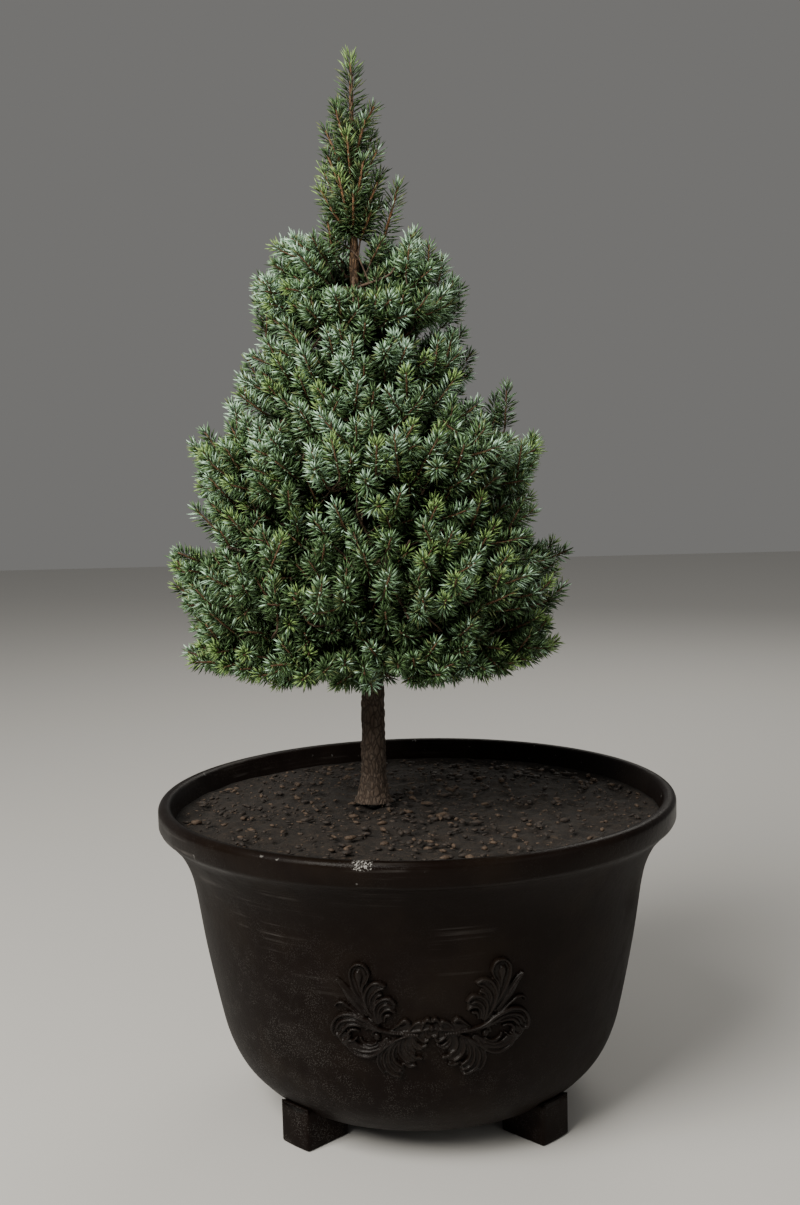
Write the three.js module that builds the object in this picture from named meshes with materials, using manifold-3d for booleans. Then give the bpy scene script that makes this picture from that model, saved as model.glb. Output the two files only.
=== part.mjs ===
// A dwarf blue spruce in a round footed bowl planter. Millimetres, +Z up, the front towards -Y.
// The origin is on the ground under the middle of the planter.
import * as THREE from 'three';
import { mergeVertices } from 'three/addons/utils/BufferGeometryUtils.js';
import Module from 'manifold-3d';

const wasm = await Module();
wasm.setup();

// Driving dimensions of the planter
const LIP_RADIUS = 243;
const PLANTER_HEIGHT = 295;
const WALL = 7;
const FLOOR_UNDERSIDE = 26;
const FLOOR_THICKNESS = 8;
const FLOOR_RADIUS = 140;
const PLANTER_SIDES = 32;
const FOOT_COUNT = 4;
const FOOT_TURN = 45;
const FOOT_INNER_RADIUS = 116;
const FOOT_OUTER_RADIUS = 166;
const FOOT_WIDTH = 36;
const FOOT_TOP = 56;
const SOIL_TOP = 282;
const SOIL_EDGE_DROP = 7;
const SOIL_FLAT_RADIUS = 64;
const SOIL_SLOPE_RADIUS = 150;
const SOIL_RADIUS = 229.5;

// Driving dimensions of the tree
const TRUNK_BASE = new THREE.Vector3(-41, 10, SOIL_TOP);
const TREE_TOP = 983;
const TRUNK_TIP_HEIGHT = 958;
const TRUNK_LEAN = -3;
const TRUNK_BEND = 2.5;
const TRUNK_SIDES = 9;
const TRUNK_STEPS = 12;
const FLARE_CROWDING = 1.35;
const LEADER_FOOT = 815;

// Boughs and stems, as shares of the crown's reach at the height of their mass
const BOUGH_SIDES = 5;
const BOUGH_STEPS = 3;
const BOUGH_TAPER = 0.42;
const BOUGH_END = 0.46;
const BOUGH_RISE = 0.42;
const BOUGH_SAG = 0.05;
const BOUGH_END_DROP = 4;
const STEM_LENGTH = 0.34;
const STEM_RISE = 0.1;
const STEM_TAPER = 0.5;
const MASS_CENTRE = 0.58;

// Sprays of needles: lengths in millimetres, the rest as shares of a spray's length or radius
const SPRAY_COUNT = 350;
const SPRAY_LENGTH = 38;
const SPRAY_RADIUS = 16.5;
const SPRAY_VARIATION = 0.24;
const NEEDLES_PER_SPRAY = 3;
const NEEDLE_SETBACK = 0.42;
const VALLEY_SETBACK = 0.62;
const VALLEY_RADIUS = 0.42;
const ROOT_SUNK = 0.22;
const SLIDES = 6;
const SLIDE_SHRINK = 0.97;
const CLOSEST_SPRAYS = 0.75;
const REACH_LOSS = 0.1;
const ANGLE_JITTER = 0.12;
const SIDEWAYS_JITTER = 0.5;
const LIFT = 0.58;
const LEADER_LIFT = 0.95;
const OUTWARD_PULL = 0.3;
const SURFACE_PULL = 0.6;
const LEADER_CROWDING = 1.7;
const LEADER_SPRAY_SCALE = 0.75;
const LEADER_SLEEVE = 3.4;
const LEADER_SLEEVE_STEPS = 6;
const LEADER_CAP = 3;
const LEADER_RISE = 1.05;
const LEADER_LEAST_RISE = 20;
const LEADER_LOWEST_ROOT = 827;
const LEADER_HIGHEST_ROOT = 953;
const TIP_SPRAY_RADIUS = 8;

// The dense inside of the crown
const CORE_DEPTH = 26;
const CORE_EASE = 10;
const CORE_HOLLOW = 0.44;
const CORE_LUMP = 0.05;
const CORE_LUMPS = 4;
const CORE_WAVE = 11;
const CORE_SIDES = 18;
const CORE_HEIGHTS = [420, 452, 500, 550, 600, 640, 672, 712, 758, 796];

const GAP = 0.3;
const SMOOTHED_GAP = 1.5 * GAP;
const SEED = 4711;
const GOLDEN_ANGLE = Math.PI * (3 - Math.sqrt(5));

// Outer side of the bowl, from the sharp lower edge to the underside of the lip: radius, height
const BOWL_SIDE = [
  [146, FLOOR_UNDERSIDE], [151, 29], [163, 40], [175, 55], [185, 77], [192, 105],
  [203, 162], [211, 215], [217, 238], [226, 256], [236, 268],
];

// Trunk radius at a height above the ground: root flare, stem, leader
const TRUNK_RADII = [
  [SOIL_TOP, 19], [SOIL_TOP + 9, 14.5], [SOIL_TOP + 28, 12], [400, 10.5], [600, 7.4], [790, 4.4],
  [880, 2.8], [TRUNK_TIP_HEIGHT, 1.5],
];

// The crown's outline as height above the ground and reach from the trunk, from underneath to the tip
const CROWN = [
  [412, 52], [400, 102], [410, 150], [427, 185], [446, 174], [471, 183], [492, 193], [512, 197],
  [532, 187], [556, 170], [580, 162], [600, 168], [620, 173], [638, 162], [654, 134], [676, 118],
  [702, 113], [728, 95], [758, 104], [782, 93], [808, 78], [820, 52], [832, 43], [858, 44],
  [885, 35], [930, 29], [950, 20], [968, 15], [TREE_TOP, 2],
];

// Whorls of boughs, each ending in one mass of foliage
const WHORLS = [
  { name: 'skirt', count: 7, height: 440, turn: 12, bough: 4.6 },
  { name: 'lower', count: 6, height: 521, turn: 38, bough: 4.4 },
  { name: 'middle', count: 5, height: 608, turn: 16, bough: 3.8 },
  { name: 'upper', count: 4, height: 695, turn: 52, bough: 3.2 },
  { name: 'shoulder', count: 3, height: 774, turn: 30, bough: 2.7 },
];

function material(name, color, roughness) {
  return new THREE.MeshStandardMaterial({ name, color, roughness, metalness: 0 });
}
const planterFinish = material('charcoal planter', 0x2b2928, 0.5);
const soilFinish = material('potting soil', 0x2a1f18, 0.95);
const barkFinish = material('bark', 0x6a4a33, 0.9);
const needleFinish = material('needles', 0x5a7a68, 0.65);

const tree = new THREE.Group();

function addPart(name, geometry, finish) {
  const mesh = new THREE.Mesh(geometry, finish);
  mesh.name = name;
  tree.add(mesh);
}

// A repeatable source of random numbers from 0 to 1
function seeded(seed) {
  let state = seed >>> 0;
  return () => {
    state = (state + 0x6d2b79f5) >>> 0;
    let mixed = Math.imul(state ^ (state >>> 15), state | 1);
    mixed ^= mixed + Math.imul(mixed ^ (mixed >>> 7), mixed | 61);
    return ((mixed ^ (mixed >>> 14)) >>> 0) / 4294967296;
  };
}

// The value of a table of [key, value] rows at one key
function interpolate(rows, key) {
  if (key <= rows[0][0]) return rows[0][1];
  for (let i = 1; i < rows.length; i += 1) {
    const [lowKey, lowValue] = rows[i - 1];
    const [highKey, highValue] = rows[i];
    if (key <= highKey) return lowValue + ((highValue - lowValue) * (key - lowKey)) / (highKey - lowKey);
  }
  return rows[rows.length - 1][1];
}

// Closed geometry to solid and back, keeping only the largest shell
function toSolid(geometry) {
  const bare = geometry.clone();
  bare.deleteAttribute('normal');
  bare.deleteAttribute('uv');
  const merged = mergeVertices(bare, 1e-4);
  return new wasm.Manifold(new wasm.Mesh({
    numProp: 3,
    vertProperties: new Float32Array(merged.attributes.position.array),
    triVerts: new Uint32Array(merged.index.array),
  }));
}

function toGeometry(solid) {
  const mesh = solid.getMesh();
  const { vertProperties: points, triVerts: corners, numProp } = mesh;
  const point = (i) => new THREE.Vector3(...points.slice(i * numProp, i * numProp + 3));
  const shellOf = Array.from({ length: points.length / numProp }, (_, i) => i);
  const find = (i) => {
    let root = i;
    while (shellOf[root] !== root) root = shellOf[root];
    shellOf[i] = root;
    return root;
  };
  for (let t = 0; t < corners.length; t += 3) {
    shellOf[find(corners[t + 1])] = find(corners[t]);
    shellOf[find(corners[t + 2])] = find(corners[t]);
  }
  const volumes = new Map();
  for (let t = 0; t < corners.length; t += 3) {
    const [a, b, c] = [point(corners[t]), point(corners[t + 1]), point(corners[t + 2])];
    const shell = find(corners[t]);
    volumes.set(shell, (volumes.get(shell) ?? 0) + a.dot(b.cross(c)) / 6);
  }
  const largest = [...volumes].reduce((best, row) => (row[1] > best[1] ? row : best))[0];
  const positions = [];
  for (let t = 0; t < corners.length; t += 3) {
    if (find(corners[t]) !== largest) continue;
    for (let i = 0; i < 3; i += 1) positions.push(...point(corners[t + i]).toArray());
  }
  const geometry = new THREE.BufferGeometry();
  geometry.setAttribute('position', new THREE.Float32BufferAttribute(positions, 3));
  return mergeVertices(geometry, 1e-5);
}

// A round limb bent along a curve, with its radius given at each fraction of the length
function limb(curve, radiusAt, sides, steps) {
  const geometry = new THREE.CylinderGeometry(1, 1, 1, sides, steps);
  const position = geometry.attributes.position;
  for (let i = 0; i < position.count; i += 1) {
    const along = position.getY(i) + 0.5;
    const centre = curve.getPoint(along);
    const ahead = curve.getTangent(along).normalize();
    const side = new THREE.Vector3(0, 1, 0.001).cross(ahead).normalize();
    const across = ahead.clone().cross(side);
    const place = centre
      .addScaledVector(side, position.getZ(i) * radiusAt(along))
      .addScaledVector(across, position.getX(i) * radiusAt(along));
    position.setXYZ(i, ...place.toArray());
  }
  geometry.deleteAttribute('normal');
  geometry.deleteAttribute('uv');
  return mergeVertices(geometry, 1e-5);
}

// A closed profile of [radius, height] rows turned round the vertical axis
function turned(profile, sides = PLANTER_SIDES) {
  const geometry = new THREE.LatheGeometry(profile.map(([r, z]) => new THREE.Vector2(r, z)), sides);
  geometry.rotateX(Math.PI / 2);
  geometry.deleteAttribute('normal');
  geometry.deleteAttribute('uv');
  return mergeVertices(geometry, 1e-4);
}

// The planter: a bowl with a flared, rolled lip
const innerFloor = FLOOR_UNDERSIDE + FLOOR_THICKNESS;
const innerSide = (clearance) => BOWL_SIDE
  .filter(([, z]) => z > innerFloor + 10)
  .map(([r, z]) => [r - WALL - clearance, z]);
const lip = [[2, 23], [0, 19], [0, 6], [2, 1.5], [6, 0], [11, 2]]
  .map(([inward, down]) => [LIP_RADIUS - inward, PLANTER_HEIGHT - down]);
const planterProfile = [
  [0, FLOOR_UNDERSIDE], ...BOWL_SIDE, ...lip, ...innerSide(0).reverse(),
  [FLOOR_RADIUS, innerFloor], [0, innerFloor],
];
addPart('planter_bowl', turned(planterProfile), planterFinish);

// The soil fills the bowl to a little below its lip and rises gently to the middle
const soilEdge = SOIL_TOP - SOIL_EDGE_DROP;
const soilSide = innerSide(SMOOTHED_GAP).filter(([, z]) => z < soilEdge - 10);
const soilProfile = [
  [0, innerFloor + GAP], [FLOOR_RADIUS - 1, innerFloor + GAP], ...soilSide,
  [SOIL_RADIUS, soilEdge], [SOIL_SLOPE_RADIUS, SOIL_TOP - 2], [SOIL_FLAT_RADIUS, SOIL_TOP], [0, SOIL_TOP],
];
addPart('potting_soil', turned(soilProfile), soilFinish);

// Four block feet with rounded outer faces, cut to the bowl that stands on them
const bowlClearance = toSolid(turned([
  [0, FLOOR_UNDERSIDE - GAP],
  ...BOWL_SIDE.slice(0, 5).map(([r, z]) => [r + GAP, z - GAP]),
  [0, BOWL_SIDE[4][1]],
]));
for (let k = 0; k < FOOT_COUNT; k += 1) {
  const plan = new THREE.Shape();
  const halfAngle = Math.asin(FOOT_WIDTH / 2 / FOOT_OUTER_RADIUS);
  plan.moveTo(FOOT_INNER_RADIUS, FOOT_WIDTH / 2);
  plan.lineTo(FOOT_INNER_RADIUS, -FOOT_WIDTH / 2);
  plan.absarc(0, 0, FOOT_OUTER_RADIUS, -halfAngle, halfAngle, false);
  plan.closePath();
  const block = new THREE.ExtrudeGeometry(plan, { depth: FOOT_TOP, bevelEnabled: false, curveSegments: 4 });
  block.rotateZ(THREE.MathUtils.degToRad(FOOT_TURN + (360 / FOOT_COUNT) * k));
  addPart(`foot_${k + 1}`, toGeometry(toSolid(block).subtract(bowlClearance)), planterFinish);
}

// The trunk: one tapering stem from its root flare to the tip of the leader
function trunkCentre(height) {
  const t = (height - SOIL_TOP) / (TRUNK_TIP_HEIGHT - SOIL_TOP);
  return new THREE.Vector3(
    TRUNK_BASE.x + TRUNK_LEAN * t + TRUNK_BEND * Math.sin(2 * Math.PI * t),
    TRUNK_BASE.y + TRUNK_BEND * Math.sin(3 * Math.PI * t),
    height,
  );
}

const trunkRadius = (height) => interpolate(TRUNK_RADII, height);

// A stretch of the trunk, with its steps closer together at the root flare
function trunkStretch(bottom, top, extra, steps) {
  const heightAt = (t) => bottom + (top - bottom) * t ** FLARE_CROWDING;
  const curve = {
    getPoint: (t) => trunkCentre(heightAt(t)),
    getTangent: () => new THREE.Vector3(0, 0, 1),
  };
  return limb(curve, (t) => trunkRadius(heightAt(t)) + extra, TRUNK_SIDES, steps);
}
addPart('trunk', trunkStretch(SOIL_TOP + GAP, TRUNK_TIP_HEIGHT, 0, TRUNK_STEPS), barkFinish);
const trunkClearance = toSolid(trunkStretch(SOIL_TOP, TRUNK_TIP_HEIGHT + GAP, SMOOTHED_GAP, TRUNK_STEPS));

// The crown is shared out among masses, one to each bough and one on the leader
const masses = [];
for (const whorl of WHORLS) {
  for (let k = 0; k < whorl.count; k += 1) {
    const angle = THREE.MathUtils.degToRad(whorl.turn + (360 / whorl.count) * k);
    const outward = new THREE.Vector3(Math.cos(angle), Math.sin(angle), 0);
    const reach = crownReach(whorl.height);
    const centre = trunkCentre(whorl.height).addScaledVector(outward, reach * MASS_CENTRE);
    masses.push({ name: `${whorl.name}_${k + 1}`, outward, reach, centre, whorl, sprays: [] });
  }
}
const leader = { name: 'leader', centre: trunkCentre(LEADER_FOOT + 72), sprays: [] };
masses.push(leader);

function crownReach(height) {
  return interpolate(CROWN.slice(1), height);
}

// The space of a mass: all that lies nearer its centre than any other's, as planes that face outward
function spaceOf(mass) {
  return masses.filter((other) => other !== mass).map((other) => {
    const normal = other.centre.clone().sub(mass.centre).normalize();
    const middle = other.centre.clone().add(mass.centre).multiplyScalar(0.5);
    return new THREE.Plane(normal, -middle.dot(normal) + SMOOTHED_GAP / 2);
  });
}
for (const mass of masses) mass.space = spaceOf(mass);

// Boughs: each leaves the trunk below its mass, rises outward and ends where the mass begins
for (const mass of masses) {
  if (mass === leader) continue;
  const tip = trunkCentre(mass.whorl.height).addScaledVector(mass.outward, mass.reach * BOUGH_END);
  tip.z -= BOUGH_END_DROP;
  const root = trunkCentre(mass.whorl.height - mass.reach * BOUGH_END * BOUGH_RISE);
  const bend = root.clone().lerp(tip, 0.5);
  bend.z -= mass.reach * BOUGH_END * BOUGH_SAG;
  const ahead = tip.clone().sub(bend).normalize();
  const thick = mass.whorl.bough;
  mass.boughGeometry = (extra) => {
    const curve = new THREE.QuadraticBezierCurve3(root, bend, tip.clone().addScaledVector(ahead, extra));
    return limb(curve, (t) => thick * (1 - BOUGH_TAPER * t) + extra, BOUGH_SIDES, BOUGH_STEPS);
  };
  mass.stemStart = tip.clone().addScaledVector(ahead, GAP);
  mass.stemEnd = tip.clone().addScaledVector(mass.outward, mass.reach * STEM_LENGTH);
  mass.stemEnd.z += mass.reach * STEM_RISE;
  mass.stemRadius = thick * (1 - BOUGH_TAPER);
  mass.middle = mass.stemStart.clone().lerp(mass.stemEnd, 0.5);
  const bough = toSolid(mass.boughGeometry(0)).subtract(trunkClearance);
  addPart(`bough_${mass.name}`, toGeometry(bough), barkFinish);
}

// The crown's surface with its area summed up from underneath to the tip, more of it on the leader
const rows = CROWN.map(([height, reach]) => ({ height, reach, area: 0 }));
for (let i = 1; i < rows.length; i += 1) {
  const slant = Math.hypot(rows[i].height - rows[i - 1].height, rows[i].reach - rows[i - 1].reach);
  const crowding = rows[i].height > LEADER_FOOT ? LEADER_CROWDING : 1;
  rows[i].area = rows[i - 1].area + (slant * crowding * (rows[i].reach + rows[i - 1].reach)) / 2;
}

// The ring of that surface below which a share of its area lies
function crownRing(share) {
  const target = share * rows[rows.length - 1].area;
  const i = Math.max(1, rows.findIndex((row) => row.area >= target));
  const t = (target - rows[i - 1].area) / (rows[i].area - rows[i - 1].area);
  const height = rows[i - 1].height + (rows[i].height - rows[i - 1].height) * t;
  const reach = rows[i - 1].reach + (rows[i].reach - rows[i - 1].reach) * t;
  const rise = rows[i].height - rows[i - 1].height;
  const spread = rows[i].reach - rows[i - 1].reach;
  const slant = Math.hypot(rise, spread);
  return { height, reach, normalOut: rise / slant, normalUp: -spread / slant };
}

const nearestMass = (point) => masses.reduce((best, mass) => (
  mass.centre.distanceTo(point) < best.centre.distanceTo(point) ? mass : best));

// The tips of the sprays follow one spiral up the crown's surface, evenly by area
const random = seeded(SEED);
for (let k = 0; k < SPRAY_COUNT; k += 1) {
  const draws = [random(), random(), random(), random()];
  const ring = crownRing((k + 0.5) / SPRAY_COUNT);
  const angle = k * GOLDEN_ANGLE + (draws[0] - 0.5) * ANGLE_JITTER;
  const outward = new THREE.Vector3(Math.cos(angle), Math.sin(angle), 0);
  const onLeader = ring.height > LEADER_FOOT;
  const scale = (onLeader ? LEADER_SPRAY_SCALE : 1) * (1 + SPRAY_VARIATION * (draws[1] - 0.5));
  const reach = ring.reach * (1 - REACH_LOSS * draws[2] ** 2);
  const tip = trunkCentre(Math.min(ring.height, TRUNK_TIP_HEIGHT)).addScaledVector(outward, reach);
  tip.z = ring.height;
  const direction = new THREE.Vector3(0, 0, (onLeader ? LEADER_LIFT : LIFT) + SURFACE_PULL * ring.normalUp)
    .addScaledVector(outward, OUTWARD_PULL + SURFACE_PULL * ring.normalOut);
  const side = new THREE.Vector3(-outward.y, outward.x, 0);
  direction.normalize().addScaledVector(side, (draws[3] - 0.5) * SIDEWAYS_JITTER).normalize();
  nearestMass(tip).sprays.push({ tip, direction, scale, turn: draws[3] * Math.PI });
}

// The dense inside of the crown: a lumpy shell a little way in from its outline, open round the trunk
function crownShell() {
  const inset = (height) => {
    const nearby = [height - CORE_EASE, height, height + CORE_EASE];
    return Math.min(...nearby.map(crownReach)) - CORE_DEPTH;
  };
  const outside = CORE_HEIGHTS.map((height) => [inset(height), height]);
  const inside = CORE_HEIGHTS.filter((_, i) => i % 3 === 0 || i === CORE_HEIGHTS.length - 1)
    .map((height) => [inset(height) * CORE_HOLLOW, height]).reverse();
  const geometry = turned([...outside, ...inside, outside[0]], CORE_SIDES);
  const position = geometry.attributes.position;
  for (let i = 0; i < position.count; i += 1) {
    const [x, y, z] = [position.getX(i), position.getY(i), position.getZ(i)];
    const angle = Math.atan2(y, x);
    const lump = 1 + CORE_LUMP * Math.sin(CORE_LUMPS * angle + z / CORE_WAVE / 2) * Math.sin(z / CORE_WAVE);
    const axis = trunkCentre(z);
    position.setXYZ(i, axis.x + x * lump, axis.y + y * lump, z);
  }
  return toSolid(geometry);
}
const shell = crownShell();

// A mass's smaller core: the stretch of that shell in the mass's own space
function coreOf(mass) {
  return mass.space.reduce(
    (solid, plane) => solid.trimByPlane(plane.normal.clone().negate().toArray(), plane.constant),
    shell,
  );
}

// A twig with its spray of needles in one closed shape: slim from its root, then needles that stand
// out and point forward
function sprayGeometry(spray) {
  const length = spray.tip.distanceTo(spray.root);
  const ahead = spray.tip.clone().sub(spray.root).normalize();
  const side = new THREE.Vector3(0.31, 0.17, 1).cross(ahead).normalize();
  const across = ahead.clone().cross(side);
  const ring = 2 * NEEDLES_PER_SPRAY;
  const geometry = new THREE.SphereGeometry(1, ring, 2);
  const position = geometry.attributes.position;
  for (let i = 0; i < position.count; i += 1) {
    const pole = Math.round(position.getY(i));
    const turn = Math.atan2(position.getZ(i), position.getX(i)) / (2 * Math.PI);
    const isNeedle = Math.round((turn + 1) * ring) % 2 === 0;
    const radius = pole !== 0 ? 0 : spray.radius * (isNeedle ? 1 : VALLEY_RADIUS);
    const fromTip = spray.needled * (isNeedle ? NEEDLE_SETBACK : VALLEY_SETBACK);
    const along = pole > 0 ? length : pole < 0 ? 0 : length - fromTip;
    const angle = turn * 2 * Math.PI + spray.turn;
    const place = spray.root.clone().addScaledVector(ahead, along)
      .addScaledVector(across, radius * Math.cos(angle))
      .addScaledVector(side, radius * Math.sin(angle));
    position.setXYZ(i, ...place.toArray());
  }
  return geometry;
}

// A spray that leans over the edge of its mass's space slides back into it, and is skipped where it
// then crowds another
function placedSpray(mass, spray, placed) {
  const needled = SPRAY_LENGTH * spray.scale;
  const trial = { ...spray, tip: spray.tip.clone(), needled, radius: SPRAY_RADIUS * spray.scale };
  for (let attempt = 0; attempt < SLIDES; attempt += 1) {
    trial.core = trial.tip.clone().addScaledVector(spray.direction, -needled);
    trial.root = mass === leader ? leaderRoot(trial.tip) : trial.core.clone().lerp(mass.middle, ROOT_SUNK);
    const position = sprayGeometry(trial).attributes.position;
    const corners = Array.from({ length: position.count }, (_, i) => (
      new THREE.Vector3().fromBufferAttribute(position, i)));
    const slide = new THREE.Vector3();
    for (const plane of mass.space) {
      const over = Math.max(...corners.map((corner) => plane.distanceToPoint(corner)));
      if (over > 0) slide.addScaledVector(plane.normal, -over - 0.1);
    }
    if (slide.lengthSq() === 0) return placed.every((other) => spraysClear(trial, other)) ? trial : null;
    trial.tip.add(slide);
    trial.radius *= SLIDE_SHRINK;
  }
  return null;
}

function spraysClear(spray, other) {
  const needed = (spray.radius + other.radius) * CLOSEST_SPRAYS;
  const middle = (one) => one.tip.clone().lerp(one.core, 0.5);
  return spray.tip.distanceTo(other.tip) > needed && middle(spray).distanceTo(middle(other)) > needed;
}

function placedSprays(mass) {
  const placed = [];
  for (const candidate of mass.sprays) {
    const spray = placedSpray(mass, candidate, placed);
    if (spray) placed.push(spray);
  }
  return placed;
}

// A spray of the leader rises straight from the bark
function leaderRoot(tip) {
  const reach = Math.hypot(tip.x - TRUNK_BASE.x, tip.y - TRUNK_BASE.y);
  const rise = Math.max(LEADER_LEAST_RISE, LEADER_RISE * reach);
  const height = THREE.MathUtils.clamp(tip.z - rise, LEADER_LOWEST_ROOT, LEADER_HIGHEST_ROOT);
  const axis = trunkCentre(height);
  const outward = new THREE.Vector3(tip.x - axis.x, tip.y - axis.y, 0).normalize();
  return axis.addScaledVector(outward, trunkRadius(height) + LEADER_SLEEVE / 2);
}

function leaderGeometry() {
  const top = trunkCentre(TRUNK_TIP_HEIGHT);
  const last = {
    tip: top.clone().setZ(TREE_TOP),
    root: top.clone().setZ(TRUNK_TIP_HEIGHT + LEADER_CAP / 2),
    needled: TREE_TOP - TRUNK_TIP_HEIGHT,
    radius: TIP_SPRAY_RADIUS,
    turn: 0,
  };
  const capped = TRUNK_TIP_HEIGHT + LEADER_CAP;
  let solid = toSolid(trunkStretch(LEADER_FOOT, capped, LEADER_SLEEVE, LEADER_SLEEVE_STEPS));
  for (const spray of [last, ...placedSprays(leader)]) solid = solid.add(toSolid(sprayGeometry(spray)));
  return toGeometry(solid.subtract(trunkClearance));
}

// Joins the stem, the smaller core and the sprays of one mass, cut clear of every bough and the trunk
function massGeometry(mass) {
  const placed = placedSprays(mass);
  const stemLine = new THREE.LineCurve3(mass.stemStart, mass.stemEnd);
  const stem = limb(stemLine, (t) => mass.stemRadius * (1 - STEM_TAPER * t), BOUGH_SIDES, 1);
  let solid = toSolid(stem).add(coreOf(mass));
  for (const spray of placed) solid = solid.add(toSolid(sprayGeometry(spray)));
  for (const other of masses) {
    if (other !== leader) solid = solid.subtract(toSolid(other.boughGeometry(GAP)));
  }
  return toGeometry(solid.subtract(trunkClearance));
}

for (const mass of masses) {
  addPart(`foliage_${mass.name}`, mass === leader ? leaderGeometry() : massGeometry(mass), needleFinish);
}

export default tree;
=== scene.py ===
"""A dwarf blue spruce in a round footed planter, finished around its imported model.

Lengths are metres and angles are degrees, unless a name says otherwise.
"""
import math

import bmesh
import bpy
import numpy as np
from bpy.props import FloatProperty, FloatVectorProperty, IntProperty, PointerProperty
from bpy.types import Operator, Panel, PropertyGroup
from mathutils import Matrix, Vector, noise


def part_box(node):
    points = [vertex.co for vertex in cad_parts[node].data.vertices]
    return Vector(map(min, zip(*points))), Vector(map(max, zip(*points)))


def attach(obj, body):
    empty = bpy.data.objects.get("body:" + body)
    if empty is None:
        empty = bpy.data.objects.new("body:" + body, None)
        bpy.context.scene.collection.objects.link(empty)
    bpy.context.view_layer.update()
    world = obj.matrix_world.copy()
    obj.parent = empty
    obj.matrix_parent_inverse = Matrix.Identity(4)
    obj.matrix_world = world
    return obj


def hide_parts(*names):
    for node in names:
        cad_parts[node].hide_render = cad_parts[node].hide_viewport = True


bl_info = {
    "name": "Potted blue spruce",
    "version": (1, 0, 0),
    "blender": (4, 5, 0),
    "location": "3D View > Sidebar > Spruce",
    "description": "Builds a dwarf blue spruce and its footed planter around the packed model",
    "category": "Add Mesh",
}

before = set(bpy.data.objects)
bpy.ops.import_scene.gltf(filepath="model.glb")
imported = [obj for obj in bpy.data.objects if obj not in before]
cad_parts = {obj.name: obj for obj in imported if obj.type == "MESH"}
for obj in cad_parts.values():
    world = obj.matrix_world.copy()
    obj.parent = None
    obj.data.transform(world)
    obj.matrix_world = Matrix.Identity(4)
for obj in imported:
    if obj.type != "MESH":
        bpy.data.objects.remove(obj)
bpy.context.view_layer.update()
BODY = "root"
MM = 0.001
DOUBLES = 1e-6

# Places that come from the frame
SOIL_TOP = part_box("potting_soil")[1].z
TRUNK_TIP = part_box("trunk")[1].z
TREE_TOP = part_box("foliage_leader")[1].z
LIP_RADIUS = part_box("planter_bowl")[1].x
PLANTER_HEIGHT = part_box("planter_bowl")[1].z
BOWL_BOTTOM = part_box("planter_bowl")[0].z
FOOT_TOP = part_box("foot_1")[1].z

# The planter
WALL = 0.007
BOWL_TURNS = 160
BOWL_SMOOTHING = 6
BOTTOM_RADII = (0, 0.075, 0.132)
FLOOR_THICKNESS = 0.008
FLOOR_RADII = (0.140, 0.07, 0)
INNER_WALL_FROM = 0.01
FOOT_COUNT = 4
FOOT_TURN = 45
FOOT_INNER = 0.116
FOOT_OUTER = 0.166
FOOT_WIDTH = 0.036
FOOT_CUTS = 7
FOOT_SLOPE_DROP = 0.004
FOOT_ROUND = 0.0022
SHARP_ANGLE = 0.9

# Outer side of the bowl from its sharp lower edge to the underside of the lip: radius, height
BOWL_SIDE = [
    (0.146, BOWL_BOTTOM), (0.151, 0.029), (0.163, 0.040), (0.175, 0.055), (0.185, 0.077), (0.192, 0.105),
    (0.203, 0.162), (0.211, 0.215), (0.217, 0.238), (0.226, 0.256), (0.236, 0.268),
]

# The lip below and inside its rounded edge: in from its reach, then down from its underside or from its top
LIP_DEPTH = 0.020
LIP_ROUND = 0.006
LIP_ROUND_STEPS = 8
LIP_UNDERSIDE = [(0.0035, 0.0035), (0.0012, 0.0015), (0, -0.001)]
LIP_INSIDE = [(0.0095, 0.0006), (0.012, 0.0030)]

# The soil: the height of its surface at a radius, then its underside, in from its radius and down from its
# edge. Where its surface is made rough, and how that fades out towards the bowl.
SOIL_EDGE = SOIL_TOP - 0.007
SOIL_RADIUS = 0.2295
SOIL_LEVELS = [(0, SOIL_TOP), (0.064, SOIL_TOP), (0.150, SOIL_TOP - 0.002), (SOIL_RADIUS, SOIL_EDGE)]
SOIL_UNDERSIDE = [(SOIL_RADIUS, 0.022), (0.007, 0.022), (0.002, 0.010)]
SOIL_RINGS = 70
SOIL_TURNS = 150
SOIL_SKIN = 0.002
SOIL_FADE = 0.02
SOIL_FADE_END = 0.004

# The soil's lumps: how close together the fine and the coarse ones are and how high, then how far all
# the surface is lowered for them
FINE_LUMP_SCALE = 60
FINE_LUMP_HEIGHT = 0.004
COARSE_LUMP_SCALE = 22
COARSE_LUMP_HEIGHT = 0.0025
LUMPS_DROP = 0.0045

# Crumbs and chips on the soil: how far out they lie, their least size and what some have more, how long,
# broad and high they are in sizes, how lumpy, how far they sink in, and the share of the chips
CRUMB_REACH = 0.222
CRUMB_SIZE = 0.0010
CRUMB_EXTRA = 0.0027
CRUMB_SHAPES = [(0.8, 2.2), (0.6, 1.1), (0.35, 0.8)]
CRUMB_LUMPS = 0.25
CRUMB_SINK = 0.0008
CHIP_SHARE = 0.35

# The tree
TRUNK_X = -0.041
TRUNK_Y = 0.010
TRUNK_LEAN = -0.003
TRUNK_BEND = 0.0025
TRUNK_SIDES = 40
TRUNK_STEPS = 260
TRUNK_BARK = (240, 0.0012)
TRUNK_CROWDING = 1.15
LINE_STEP = 0.01
LEADER_FOOT = 0.815
LEADER_CENTRE = 0.072
GOLDEN_ANGLE = math.pi * (3 - math.sqrt(5))
GOLDEN_SHARE = 0.618
SEED = 4711

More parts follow.
